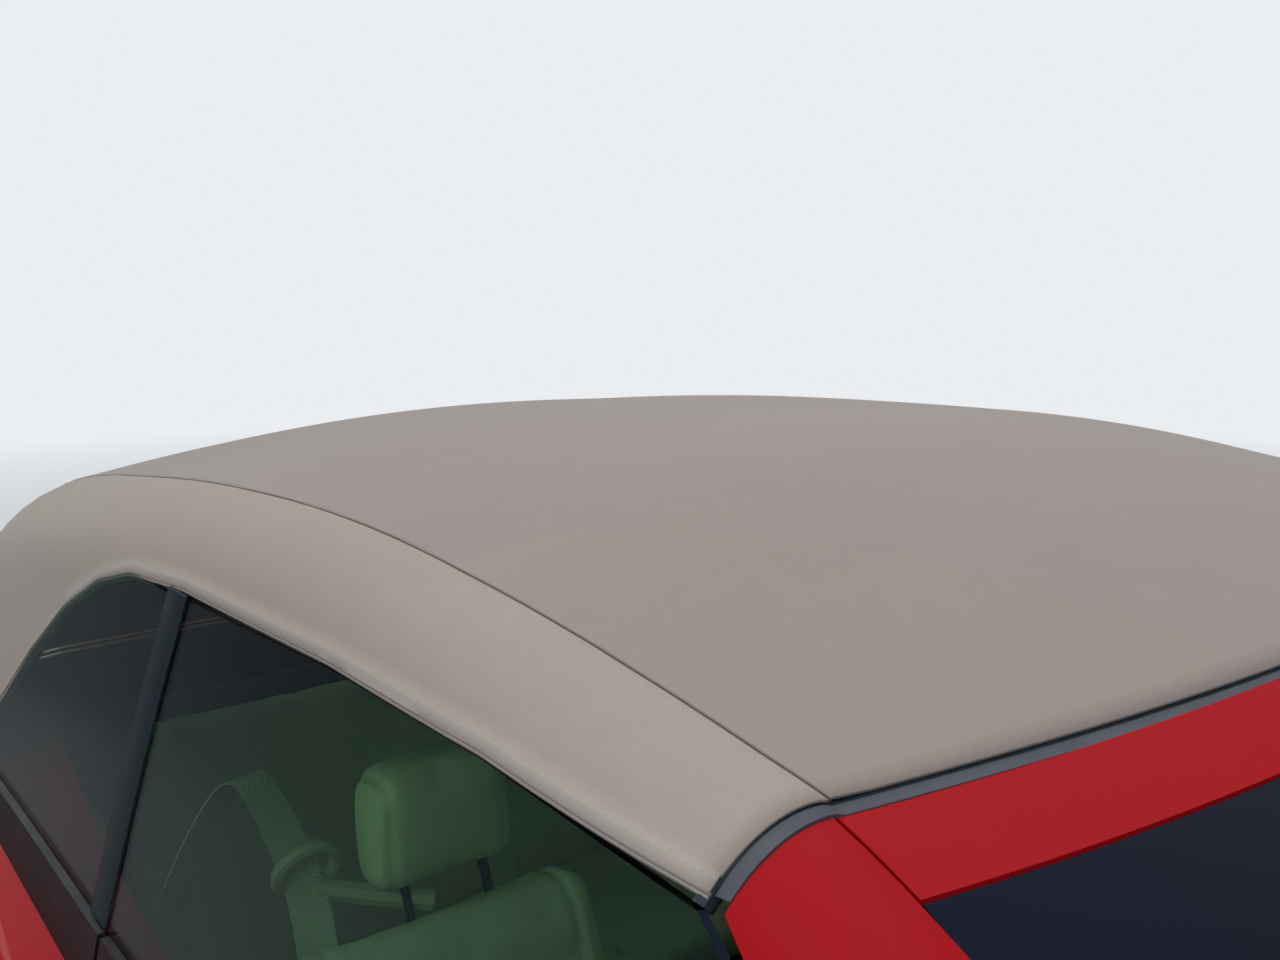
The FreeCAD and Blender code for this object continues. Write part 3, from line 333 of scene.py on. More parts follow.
# Tyres: radial rubber with four grooves round the tread and rows of shoulder
# and centre blocks, moulded ribs on the sidewalls and a bead on the rim.
rubber = Finish("tyre rubber", roughness=0.8)
spot = rubber.place()
rubber.feed("base_color", rubber.blend(
    rubber.noise(spot, 22.0, 4.0), (0.014, 0.014, 0.014, 1), (0.045, 0.042, 0.038, 1)))
rubber.relief(rubber.noise(spot, 900.0, 3.0), 0.0002, 0.5)
AXLE_HEIGHT = 0.334
AXLES = (("front", 1.455, 0.775), ("rear", -1.265, 0.770))
SIDES = ((-1, "r"), (1, "l"))
GROUND_RADIUS = 0.3255
LEAST_BLOCK = 1.6e-4
HALF_TREAD = [
    (0.2235, 0.0940), (0.2270, 0.1000), (0.2400, 0.1040), (0.2405, 0.1052), (0.2440, 0.1052),
    (0.2445, 0.1044), (0.2650, 0.1068), (0.2900, 0.1066), (0.2905, 0.1072), (0.2950, 0.1070),
    (0.2955, 0.1060), (0.3110, 0.1015), (0.3230, 0.0925), (0.3275, 0.0840), (0.3290, 0.0650),
    (0.3280, 0.0640), (0.3240, 0.0632), (0.3240, 0.0578), (0.3280, 0.0570), (0.3290, 0.0560),
    (0.3292, 0.0290), (0.3280, 0.0280), (0.3240, 0.0272), (0.3240, 0.0208), (0.3280, 0.0200),
    (0.3292, 0.0190),
]
LINING = [(0.2260, 0.0850), (0.2600, 0.0980), (0.3000, 0.0960), (0.3170, 0.0800)]


def turned(profile, centre, axis, steps, close=False):
    """A profile of (radius, offset) pairs spun once round an axis through the centre."""
    made = bmesh.new()
    verts = [made.verts.new(Vector((offset, 0.0, radius))) for radius, offset in profile]
    pairs = list(zip(verts, verts[1:]))
    if close:
        pairs.append((verts[-1], verts[0]))
    edges = [made.edges.new(pair) for pair in pairs]
    bmesh.ops.spin(made, geom=verts + edges, cent=(0, 0, 0), axis=(1, 0, 0), angle=2 * math.pi,
                   steps=steps, use_merge=True)
    bmesh.ops.remove_doubles(made, verts=made.verts, dist=1e-5)
    bmesh.ops.recalc_face_normals(made, faces=made.faces)
    turn = Vector((1, 0, 0)).rotation_difference(Vector(axis)).to_matrix().to_4x4()
    bmesh.ops.transform(made, matrix=Matrix.Translation(Vector(centre)) @ turn, verts=made.verts)
    return made


for end, x, track in AXLES:
    for side, letter in SIDES:
        band = HALF_TREAD + [(r, -w) for r, w in reversed(HALF_TREAD)]
        inside = LINING + [(r, -w) for r, w in reversed(LINING)]
        casing = turned(band + list(reversed(inside)), (x, side * track, AXLE_HEIGHT), (0, 1, 0), 84, True)
        tread = []
        for face in casing.faces:
            centre = face.calc_center_median() - Vector((x, side * track, AXLE_HEIGHT))
            outward = Vector((centre.x, 0, centre.z))
            on_top = outward.length > GROUND_RADIUS and face.normal.dot(outward) > 0.2
            if on_top and face.calc_area() > LEAST_BLOCK:
                tread.append(face)
        bmesh.ops.inset_individual(casing, faces=tread, thickness=0.0016, depth=0.0042)
        tyre = piece("tread_%s_%s" % (end, letter), casing, "wheel_%s_%s" % (end, letter), rubber)
        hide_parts("tyre_%s_%s" % (end, letter))


# Wheels: five-spoke cast alloy in silver lacquer over plain iron brake discs,
# held by five bolts round a blank cap.
alloy = Finish("silver lacquer", roughness=0.3, coat_weight=0.5)
spot = alloy.place()
MIDDLE = (AXLES[0][1] + AXLES[1][1]) / 2
HALF_BASE = (AXLES[0][1] - AXLES[1][1]) / 2
DISC_RADIUS = 0.1435
DISC_FACE = 0.7985
along = abs(alloy.axis(spot, "X") - MIDDLE)
hub = alloy.node("ShaderNodeCombineXYZ", {}, [along - HALF_BASE, 0.0, alloy.axis(spot, "Z") - AXLE_HEIGHT])
from_hub = alloy.node("ShaderNodeVectorMath", {"operation": "LENGTH"}, [hub], "Value")
iron_part = (from_hub < DISC_RADIUS) * (abs(alloy.axis(spot, "Y")) < DISC_FACE)
turning = (from_hub * 5200.0).sine()
alloy.feed("base_color", alloy.blend(iron_part, alloy.blend(
    alloy.noise(spot, 14.0, 4.0) * 0.5, (0.58, 0.59, 0.60, 1), (0.30, 0.28, 0.26, 1)), alloy.blend(
    alloy.noise(spot, 60.0, 4.0), (0.30, 0.29, 0.28, 1), (0.20, 0.15, 0.12, 1))))
alloy.feed("metallic", iron_part * 0.1 + 0.88)
alloy.feed("roughness", iron_part * 0.12 + 0.26)
alloy.relief(turning * iron_part + alloy.noise(spot, 500.0, 2.0) * 0.4, 0.00008, 0.5)
alloy.dress(*sides("wheel_front", "wheel_rear"))


def skin_of(*names):
    """A search tree over the named nodes' surfaces."""
    gathered = bmesh.new()
    for name in names:
        gathered.from_mesh(node[name].data)
    tree = BVHTree.FromBMesh(gathered)
    gathered.free()
    return tree


def knob(centre, axis, radius, height, corner=0.0015, steps=32):
    """A turned knob that stands on its centre: a rim, a rounded corner and a closed face."""
    shoulder = (radius - corner * 0.3, height - corner * 0.3)
    return turned([(1e-6, 0.0), (radius, 0.0), (radius, height - corner), shoulder,
                   (radius - corner, height), (1e-6, height)], centre, axis, steps)


chrome = Finish("bright steel", roughness=0.16, metallic=1.0)
spot = chrome.place()
chrome.feed("base_color", chrome.blend(
    chrome.noise(spot, 40.0), (0.70, 0.70, 0.71, 1), (0.52, 0.52, 0.53, 1)))
BOLT_CIRCLE = 0.052
CAP = [(1e-6, 0.0), (0.029, 0.0), (0.029, 0.004), (0.026, 0.0065), (0.015, 0.0085), (1e-6, 0.009)]
chrome.feed("roughness", chrome.noise(spot, 90.0) * 0.2 + 0.08)
for end, x, track in AXLES:
    for side, letter in SIDES:
        body = "wheel_%s_%s" % (end, letter)
        wheel = skin_of(body)
        heads = []
        for step in range(5):
            turn = math.radians(72 * step + 36)
            at = Vector((x, side * 0.95, AXLE_HEIGHT))
            at += BOLT_CIRCLE * Vector((math.sin(turn), 0, math.cos(turn)))
            face_at = wheel.ray_cast(at, Vector((0, -side, 0)))[0]
            heads.append(knob(face_at, (0, side, 0), 0.0095, 0.011, 0.003, 6))
        middle = wheel.ray_cast(Vector((x, side * 0.95, AXLE_HEIGHT)), Vector((0, -side, 0)))[0]
        heads.append(turned(CAP, middle, (0, side, 0), 36))
        piece("wheel_bolts_%s_%s" % (end, letter), joined(heads), body, chrome)


# The body: pressed steel panels and moulded bumper skins in bright red enamel
# under clear lacquer, with a faint orange peel and road dust low down.
paint = Finish("red enamel", coat_weight=0.22, coat_roughness=0.05, specular_ior_level=0.06)
spot = paint.place()
cloud = paint.noise(spot, 3.0, 4.0)
fleck = paint.cells(spot, 2400.0)
dust = ((0.40 - paint.axis(spot, "Z")) * 3.2).clamped() * cloud * 0.6
red = paint.blend(cloud * 0.6, (0.43, 0.002, 0.006, 1), (0.36, 0.001, 0.005, 1))
red = paint.blend(fleck * 0.16, red, (0.56, 0.010, 0.012, 1))
paint.feed("base_color", paint.blend(dust, red, (0.33, 0.25, 0.20, 1)))
paint.feed("roughness", dust * 0.5 + 0.30)
paint.relief(paint.noise(spot, 260.0, 2.0), 0.00006, 0.35)
paint.dress(
    "front_bumper", "rear_bumper", "hood", "boot_lid", "rear_deck", "header", "front_fenders", "body_sides",
    "screen_pillars", *sides("door", "door_mirror", "door_handle"))
trim.dress("cowl_panel", "grille", "quarter_mouldings", *sides("door_moulding"))

# A blank plate: pressed aluminium with a raised rim and two screws, in the recess of the boot lid.
plate_finish = Finish("blank plate", roughness=0.35)
spot = plate_finish.place()
plate_finish.feed("base_color", plate_finish.blend(
    plate_finish.noise(spot, 9.0, 4.0), (0.74, 0.74, 0.72, 1), (0.66, 0.65, 0.62, 1)))
back_at = skin_of("boot_lid").ray_cast(Vector((-3.0, 0.0, 0.77)), Vector((1, 0, 0)))[0].x
plate = block((back_at - 0.003, -0.150, 0.719), (back_at - 0.0012, 0.150, 0.823), 0.0005, 1)
rear_face = [face for face in plate.faces if face.normal.x < -0.9 and face.calc_area() > 0.01]
bmesh.ops.inset_region(plate, faces=rear_face, thickness=0.005, depth=0.0)
bmesh.ops.inset_region(plate, faces=rear_face, thickness=0.0015, depth=-0.0011)
screws = [knob((back_at - 0.0019, y, 0.812), (-1, 0, 0), 0.0055, 0.0022, 0.001, 20) for y in (-0.09, 0.09)]
piece("rear_plate", joined([plate] + screws), "boot_lid", plate_finish)


# Head and fog lamps: clear lenses over bright reflector bowls, each with its
# bulb; the tail lamps are red lenses with fluted optics and a pale lamp band.
lens = Finish("lamp lens", base_color=(0.97, 0.98, 1.0, 1), roughness=0.0, transmission_weight=1.0, ior=1.10,
              coat_weight=1.0, coat_roughness=0.02)
spot = lens.place()
lens.feed("roughness", lens.noise(spot, 7.0, 3.0) * 0.02)
lens.dress("head_lamps")
bowl_finish = Finish("lamp reflector", metallic=1.0, roughness=0.12)
spot = bowl_finish.place()
bowl_finish.feed("base_color", bowl_finish.blend(
    bowl_finish.noise(spot, 30.0), (0.86, 0.87, 0.88, 1), (0.72, 0.73, 0.74, 1)))
bowl_finish.relief(bowl_finish.cells(spot, 90.0, "SMOOTH_F1"), 0.002, 0.5)
# Each row: distance from the middle, height and mouth radius of a bowl.
BOWLS = ((0.560, 0.704, 0.048), (0.672, 0.712, 0.052), (0.772, 0.722, 0.030), (0.655, 0.352, 0.034))
BEHIND_LENS = 0.018
nose = skin_of("head_lamps")
for side, letter in SIDES:
    bowls = []
    for y, z, radius in BOWLS:
        front = nose.ray_cast(Vector((3.0, side * y, z)), Vector((-1, 0, 0)))[0].x - BEHIND_LENS
        deep = radius * 0.95
        bowls.append(turned([
            (radius + 0.003, -0.002), (radius, 0.0), (radius * 0.93, -deep * 0.25),
            (radius * 0.75, -deep * 0.6), (radius * 0.42, -deep * 0.9), (0.008, -deep),
            (0.007, -deep * 0.45), (1e-6, -deep * 0.38),
        ], (front, side * y, z), (1, 0, 0), 40))
    piece("lamp_bowls_" + letter, joined(bowls), "chassis", bowl_finish, outward=False)
tail_lens = Finish("tail lens", roughness=0.06, coat_weight=1.0, coat_roughness=0.02)
spot = tail_lens.place()
height = tail_lens.axis(spot, "Z")
band = (height > 0.765) * (height < 0.808)
flutes = (tail_lens.axis(spot, "Y") * 900.0).sine() * (height * 900.0).sine()
tail_lens.feed("base_color", tail_lens.blend(band, tail_lens.blend(
    tail_lens.noise(spot, 26.0), (0.42, 0.004, 0.006, 1), (0.26, 0.003, 0.005, 1)), (0.72, 0.70, 0.70, 1)))
tail_lens.relief(flutes, 0.0008, 0.6)
tail_lens.dress("tail_lamps")


# Glass: a laminated green screen with a black printed border, darker toughened
# side panes, and a rear pane with its heating lines and border.
def pane(name, tint, *names):
    made = Finish(name, base_color=tint, roughness=0.0, transmission_weight=1.0, ior=1.45,
                  specular_tint=(0.42, 0.52, 1.0, 1))
    at = made.place()
    made.feed("roughness", made.noise(at, 5.0, 3.0) * 0.012)
    made.dress(*names)
    return made, at


pane("side glass", (0.62, 0.95, 0.70, 1), "quarter_glass", *sides("door_glass"))
SCREEN_TINT = (0.62, 0.76, 0.71, 1)
REAR_TINT = (0.26, 0.34, 0.31, 1)
PRINTED = (0.001, 0.001, 0.0012, 1)
screen, spot = pane("screen glass", SCREEN_TINT, "windscreen")
across = screen.axis(spot, "Y")
height = screen.axis(spot, "Z")
top_line = 1.305 - across * across * 0.13
border = (height > top_line - 0.052 + screen.cells(spot, 160.0) * 0.004) + (height < 0.985)
side_line = 0.690 - (height - 0.93) * 0.375
border = (border + (abs(across) > side_line - 0.028)).clamped()
screen.feed("base_color", screen.blend(border, SCREEN_TINT, PRINTED))
rear, spot = pane("rear glass", REAR_TINT, "rear_window")
across = abs(rear.axis(spot, "Y"))
run = rear.axis(spot, "X")
heating = ((run * (2 * math.pi / 0.028)).sine() > 0.985) * (across < 0.335)
border = ((across > 0.385) + (run > -1.335) + (run < -1.620)).clamped()
rear.feed("base_color", rear.blend(border, rear.blend(heating, REAR_TINT, (0.05, 0.02, 0.01, 1)), PRINTED))

# The pillar channel: a dark rubber run that holds the quarter pane's front edge
# and seals the rear edge of the door glass when the door is shut.
channel = Finish("channel rubber", roughness=0.42)
spot = channel.place()
channel.feed("base_color", channel.blend(
    channel.noise(spot, 24.0, 4.0), (0.010, 0.022, 0.028, 1), (0.020, 0.034, 0.042, 1)))
channel.relief(channel.noise(spot, 700.0), 0.0002, 0.5)
CHANNEL_LEVELS = (0.977, 1.06, 1.14, 1.22, 1.285, 1.301)
CHANNEL_SECTION = ((-0.0250, 0.0), (-0.0250, 0.0022), (-0.0225, 0.0036), (0.0215, 0.0036), (0.0240, 0.0022),
                   (0.0240, 0.0))
CORNERS = len(CHANNEL_SECTION)
quarter = skin_of("quarter_glass")
for side, letter in SIDES:
    post = bmesh.new()
    steps = []
    for z in CHANNEL_LEVELS:
        x = -0.381 - (1.300 - z) * 0.108
        at = quarter.ray_cast(Vector((x - 0.012, side * 1.2, z)), Vector((0, -side, 0)))[0]
        if at is None:
            at = steps[-1] + (steps[-1] - steps[-2]) * (z - steps[-1].z) / (steps[-1].z - steps[-2].z)
        steps.append(at)
        for ahead, proud in CHANNEL_SECTION:
            post.verts.new((x + ahead, at.y + side * proud, z))
    post.verts.ensure_lookup_table()
    rings = [post.verts[first:first + CORNERS] for first in range(0, len(post.verts), CORNERS)]
    for ring in rings:
        for corner in range(CORNERS):
            post.edges.new((ring[corner], ring[(corner + 1) % CORNERS]))
    for under, over in zip(rings, rings[1:]):
        pair = [edge for edge in post.edges if all(v in under + over for v in edge.verts)]
        bmesh.ops.bridge_loops(post, edges=pair)
    bmesh.ops.holes_fill(post, edges=[edge for edge in post.edges if edge.is_boundary], sides=CORNERS)
    piece("pillar_channel_" + letter, post, "chassis", channel)

# Door mirrors: a bright glass plate with bevelled edges in each painted shell.
for side, letter in SIDES:
    glass = block((0.7762, side * 0.921 - 0.070, 0.951), (0.7800, side * 0.921 + 0.070, 1.029), 0.0012, 2)
    piece("mirror_glass_" + letter, glass, "door_" + letter, chrome)


# Wipers: two pressed arms from pivots in the cowl, each with a rubber blade that
# lies along the foot of the screen.
def line_of(points, radius, smooth=True, closed=False, resolution=2):
    """A round rod that follows the points on one smooth line, as a mesh."""
    line = bpy.data.curves.new("line", "CURVE")
    line.dimensions = "3D"
    line.bevel_depth = radius
    line.bevel_resolution = resolution
    line.use_fill_caps = radius > 0
    spline = line.splines.new("NURBS" if smooth else "POLY")
    spline.points.add(len(points) - 1)
    for point, at in zip(spline.points, points):
        point.co = (*at, 1.0)
    spline.use_cyclic_u = closed
    if smooth:
        spline.order_u = 4
        spline.use_endpoint_u = not closed
        spline.resolution_u = 8
    carrier = bpy.data.objects.new("line", line)
    made = bmesh.new()
    made.from_mesh(bpy.data.meshes.new_from_object(carrier))
    bpy.data.objects.remove(carrier)
    bpy.data.curves.remove(line)
    return made


screen_skin = skin_of("windscreen", "cowl_panel")
for label, pivot_y, first_y, last_y in (("passenger", -0.10, -0.58, -0.06), ("driver", 0.56, 0.03, 0.56)):
    blade = []
    for step in range(9):
        y = first_y + (last_y - first_y) * step / 8
        z = 0.990 + 0.012 * math.sin(math.pi * step / 8)
        hit, normal = screen_skin.ray_cast(Vector((2.0, y, z)), Vector((-1, 0, 0)))[:2]
        blade.append(hit + normal * 0.005)
    middle = blade[4] + Vector((0.012, 0, 0.010))
    pivot = screen_skin.ray_cast(Vector((1.118, pivot_y, 1.4)), Vector((0, 0, -1)))[0]
    bend = (pivot + middle) / 2 + Vector((0.006, 0, 0.020))
    arm = line_of([pivot + Vector((0, 0, -0.004)), pivot + Vector((0, 0, 0.018)), bend, middle,
                   middle + Vector((-0.008, 0, -0.006))], 0.0045)
    boss = knob(pivot, (0, 0, 1), 0.013, 0.016, 0.004, 24)
    bar = line_of([p + Vector((0.004, 0, 0.004)) for p in blade], 0.0035)
    wiper = joined([line_of(blade, 0.0042), bar, arm, boss])
    piece("wiper_" + label, wiper, "chassis", trim)


# Cabin mouldings: dashboard, console and side trims in light stone plastic with
# a fine leather grain; the wheel is dark and the dials sit in a hooded box.
stone = Finish("stone moulding", roughness=0.55)
spot = stone.place()
stone.relief(stone.cells(spot, 900.0), 0.0003, 0.5)
stone.feed("base_color", stone.blend(
    stone.noise(spot, 5.0, 4.0), (0.52, 0.48, 0.38, 1), (0.44, 0.40, 0.31, 1)))
stone.dress("dashboard", "console", "rear_trims", *sides("door_trim"))
trim.dress("steering_wheel")
dash = skin_of("dashboard")
hoods = block((0.655, 0.235, 0.862), (0.830, 0.505, 0.965), 0.030, 4, 0.86)
recess = [face for face in hoods.faces if face.normal.x < -0.85 and face.calc_area() > 0.005]
bmesh.ops.inset_region(hoods, faces=recess, thickness=0.006, depth=0.0)
bmesh.ops.inset_region(hoods, faces=recess, thickness=0.004, depth=-0.045)
piece("dial_hood", hoods, "chassis", trim)
DIALS = (0.315, 0.425)
DIAL_HEIGHT = 0.908
dial_finish = Finish("dial face", roughness=0.4)
spot = dial_finish.place()
ticks = 0.0
for y in DIALS:
    outward = dial_finish.axis(spot, "Y") - y
    upward = dial_finish.axis(spot, "Z") - DIAL_HEIGHT
    turn = dial_finish.node("ShaderNodeMath", {"operation": "ARCTAN2"}, [outward, upward])
    flat = dial_finish.node("ShaderNodeCombineXYZ", {}, [outward, upward, 0.0])
    out = dial_finish.node("ShaderNodeVectorMath", {"operation": "LENGTH"}, [flat], "Value")
    ticks = ((turn * 24.0).sine() > 0.9) * (out > 0.028) * (out < 0.034) + ticks
dial_finish.feed("base_color", dial_finish.blend(ticks, (0.01, 0.01, 0.012, 1), (0.75, 0.75, 0.72, 1)))
faces = [knob((0.699, y, DIAL_HEIGHT), (-1, 0, 0), 0.037, 0.004, 0.001, 40) for y in DIALS]
needles = [block((0.6935, y - 0.001, 0.906), (0.6945, y + 0.001, 0.936), 0.0003, 1) for y in DIALS]
piece("dials", joined(faces + needles), "chassis", dial_finish)
VENT = [(0.034, 0.0), (0.036, 0.006), (0.031, 0.007), (0.029, 0.001), (1e-6, 0.001)]
FINS = (-0.014, -0.005, 0.005, 0.014)
fittings = []
for y, z in ((-0.585, 0.815), (-0.075, 0.812), (0.075, 0.812), (0.600, 0.815)):
    at = dash.ray_cast(Vector((0.3, y, z)), Vector((1, 0, 0)))[0]
    fittings.append(turned(VENT, at, (-1, 0, 0), 36))
    for rise in FINS:
        under = at + Vector((-0.0045, -0.029, rise - 0.0012))
        over = at + Vector((-0.001, 0.029, rise + 0.0012))
        fittings.append(block(under, over, 0.0004, 1))
for y in (-0.055, 0.0, 0.055):
    at = dash.ray_cast(Vector((0.3, y, 0.690)), Vector((1, 0, 0)))[0]
    fittings.append(knob(at + Vector((0.004, 0, 0)), (-1, 0, 0.15), 0.017, 0.026, 0.003, 28))
at = dash.ray_cast(Vector((0.3, 0.0, 0.750)), Vector((1, 0, 0)))[0]
fittings.append(block(at + Vector((-0.006, -0.090, -0.026)), at + Vector((0.020, 0.090, 0.026)), 0.003, 2))
piece("dash_fittings", joined(fittings), "chassis", trim)

# The console carries a gear lever in a gaiter, a hand brake and two cup wells.
LEVER_LEAN = (-0.12, 0, 1)
GAITER = [(0.045, 0.0), (0.043, 0.006), (0.034, 0.014), (0.036, 0.022), (0.024, 0.032), (0.026, 0.040),
          (0.014, 0.050), (0.0075, 0.056), (0.0075, 0.120), (1e-6, 0.120)]
GRIP = [(1e-6, 0.0), (0.010, 0.002), (0.020, 0.016), (0.0235, 0.034), (0.021, 0.050), (0.012, 0.058),
        (1e-6, 0.060)]
WELL = [(0.038, 0.0), (0.040, 0.004), (0.036, 0.005), (0.034, 0.001), (1e-6, 0.001)]
gaiter = turned(GAITER, (0.37, 0.0, 0.598), LEVER_LEAN, 36)
grip = turned(GRIP, (0.3565, 0.0, 0.712), LEVER_LEAN, 32)
BRAKE_LINE = ((0.12, 0.60), (0.08, 0.624), (0.0, 0.634), (-0.08, 0.646))
brake = line_of([(x, 0.055, z) for x, z in BRAKE_LINE], 0.013)
wells = [turned(WELL, (x, -0.045, 0.5995), (0, 0, 1), 32) for x in (0.10, 0.20)]
piece("console_controls", joined([gaiter, grip, brake] + wells), "chassis", trim)
rest = block((-0.325, -0.100, 0.598), (-0.060, 0.100, 0.640), 0.016, 4, 0.96)
piece("console_lid", rest, "chassis", stone)

# The inner mirror hangs from the head of the screen on a short ball arm.
shell = block((0.395, -0.120, 1.195), (0.425, 0.120, 1.262), 0.013, 4)
stalk = line_of([(0.440, 0, 1.292), (0.428, 0, 1.272), (0.418, 0, 1.250), (0.412, 0, 1.235)], 0.007)
piece("inner_mirror", joined([shell, stalk]), "chassis", trim)
mirror = block((0.3930, -0.114, 1.201), (0.3955, 0.114, 1.256), 0.001, 1)
piece("inner_mirror_glass", mirror, "chassis", chrome)


# Seats: foam under light stone hide, sewn in panels with piped seams. Each pad
# is a stuffed cover, so it crowns between its seams and pulls in at its corners.
hide = Finish("stone leather", roughness=0.5)
spot = hide.place()
wear = hide.noise(spot, 6.0, 4.0)
hide.relief(hide.cells(spot, 420.0) + hide.noise(spot, 90.0, 3.0) * 0.6, 0.0006, 0.5)
hide.feed("base_color", hide.blend(wear, (0.74, 0.70, 0.56, 1), (0.62, 0.58, 0.46, 1)))
hide.feed("roughness", wear * 0.22 + 0.38)


def voxel_copy(mesh, size):
    """An evenly meshed copy of a closed shape, as an object."""
    data = bpy.data.meshes.new("pattern")
    mesh.to_mesh(data)
    mesh.free()
    cover = bpy.data.objects.new("pattern", data)
    bpy.context.scene.collection.objects.link(cover)
    even = cover.modifiers.new("even", "REMESH")
    even.mode = "VOXEL"
    even.voxel_size = size
    graph = bpy.context.evaluated_depsgraph_get()
    cover.data = bpy.data.meshes.new_from_object(cover.evaluated_get(graph))
    cover.modifiers.clear()
    return cover


BLOWN_STEPS = 20


def stuffed(mesh, size, shaped, cap, seams, pressure=4.0):
    """A sewn cover blown up against its own stretch, then drawn in along its seams."""
    cover = voxel_copy(mesh, size)
    for vert in cover.data.vertices:
        vert.co = shaped(vert.co)
    start = [vert.co.copy() for vert in cover.data.vertices]
    cloth = cover.modifiers.new("cloth", "CLOTH")
    cloth.settings.use_pressure = True
    cloth.settings.uniform_pressure_force = pressure
    cloth.settings.quality = 4
    cloth.settings.effector_weights.gravity = 0.0
    cloth.collision_settings.use_collision = False
    scene = bpy.context.scene
    for step in range(1, BLOWN_STEPS + 1):
        scene.frame_set(step)
    graph = bpy.context.evaluated_depsgraph_get()
    blown = cover.evaluated_get(graph).data
    ends = [vert.co.copy() for vert in blown.vertices]
    cover.modifiers.clear()
    scene.frame_set(1)
    for vert, first, last in zip(cover.data.vertices, start, ends):
        move = last - first
        vert.co = first + move * min(1.0, cap / max(move.length, 1e-9))
    made = bmesh.new()
    made.from_mesh(cover.data)
    bpy.data.objects.remove(cover)
    bmesh.ops.smooth_vert(made, verts=made.verts, factor=0.5, use_axis_x=True, use_axis_y=True,
                          use_axis_z=True)
    made.normal_update()
    draws = []
    for vert in made.verts:
        inward = sum(depth * math.exp(-(gap(vert.co) / width) ** 2) for gap, width, depth in seams)
        draws.append((vert, vert.normal * -inward))
    for vert, move in draws:
        vert.co += move
    return made


def seat_cushion(co):
    bolster = max(0.0, abs(co.y) / 0.235 - 0.62) / 0.38
    lift = 0.030 * min(1.0, bolster) ** 1.5 if co.z > 0 else 0.0
    dip = -0.012 * math.exp(-((co.x + 0.08) / 0.16) ** 2 - (co.y / 0.12) ** 2) if co.z > 0 else 0.0
    nose_drop = -0.030 * max(0.0, (co.x - 0.12) / 0.13) ** 2
    return Vector((co.x, co.y * (1.0 - 0.05 * max(0.0, co.x / 0.25)), co.z + lift + dip + nose_drop))


def seat_back(co):
    rise = (co.z + 0.25) / 0.5
    bolster = min(1.0, max(0.0, abs(co.y) / 0.225 - 0.60) / 0.40) ** 1.5
    front = 0.032 * bolster * (1.0 - 0.6 * max(0.0, rise)) if co.x > 0 else 0.0
    return Vector((co.x * (1.12 - 0.32 * rise) + front, co.y * (1.02 - 0.16 * max(0.0, rise) ** 2), co.z))


def rest_form(co):
    return Vector((co.x * (0.86 + 2.2 * co.z), co.y * (1.0 - 1.3 * max(0.0, co.z)), co.z - 0.6 * co.y ** 2))


# A seam is its distance function, its width and its depth.
panels = [(lambda co: abs(co.y) - 0.150, 0.005, 0.0055),
          (lambda co: abs(co.x - 0.10) + (abs(co.y) > 0.15), 0.005, 0.0045)]
back_panels = [(lambda co: abs(co.y) - 0.145, 0.005, 0.0055),
               (lambda co: abs(co.z - 0.13) + (abs(co.y) > 0.145), 0.005, 0.0045)]
rest_panels = [(lambda co: abs(co.y) - 0.072, 0.004, 0.0030)]
# Each row: the blank's two corners and edge radius, mesh size, form, most swell and seams.
pads = {label: stuffed(block(low, high, edge, 3), size, form, swell, seams)
        for label, low, high, edge, size, form, swell, seams in (
    ("cushion", (-0.235, -0.228, -0.062), (0.235, 0.228, 0.058), 0.035, 0.008, seat_cushion, 0.016, panels),
    ("back", (-0.040, -0.218, -0.232), (0.044, 0.218, 0.232), 0.030, 0.008, seat_back, 0.016, back_panels),
    ("head_restraint", (-0.048, -0.090, -0.068), (0.048, 0.090, 0.072), 0.030, 0.006, rest_form, 0.008,
     rest_panels),
)}
lie = {
    "cushion": Matrix.Translation((0.005, 0, 0.418)) @ Matrix.Rotation(math.radians(-4), 4, "Y"),
    "back": Matrix.Translation((-0.315, 0, 0.668)) @ Matrix.Rotation(math.radians(-13), 4, "Y"),
    "head_restraint": Matrix.Translation((-0.412, 0, 0.977)) @ Matrix.Rotation(math.radians(-8), 4, "Y"),
}
for letter, y in (("r", -0.395), ("l", 0.395)):
    for label, mesh in pads.items():
        made = mesh.copy()
        inboard = y * 0.95 if label == "head_restraint" else y
        bmesh.ops.transform(made, matrix=Matrix.Translation((0, inboard, 0)) @ lie[label], verts=made.verts)
        pad = piece("seat_%s_%s" % (label, letter), made, "chassis", hide, crisp=180.0)
        smooth = pad.modifiers.new("soft", "SUBSURF")
        smooth.levels = smooth.render_levels = 1
    base = block((-0.230, y - 0.205, 0.2135), (0.190, y + 0.205, 0.352), 0.020, 3, 0.96)
    posts = [line_of([(-0.365, y * 0.95 + dy, 0.85), (-0.405, y * 0.95 + dy, 0.94)], 0.006, smooth=False)
             for dy in (-0.05, 0.05)]
    piece("seat_base_" + letter, joined([base] + posts), "chassis", trim)
for mesh in pads.values():
    mesh.free()
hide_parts("front_seats")


def place_hollow(y, shown):
    """How far the rear seat dips across its width at its two places."""
    dips = sum(math.exp(-((y - middle) / 0.15) ** 2) for middle in (-0.30, 0.30))
    return -0.022 * dips if shown else 0.0


def rear_cushion(co):
    hollow = place_hollow(co.y, co.z > 0)
    return Vector((co.x, co.y, co.z + hollow * math.exp(-(co.x / 0.2) ** 2)))


def rear_back(co):
    hollow = place_hollow(co.y, co.x > 0)
    narrowed = co.y * (1.0 - 0.10 * max(0.0, co.z / 0.26))
    return Vector((co.x + hollow * math.exp(-(co.z / 0.2) ** 2), narrowed, co.z))


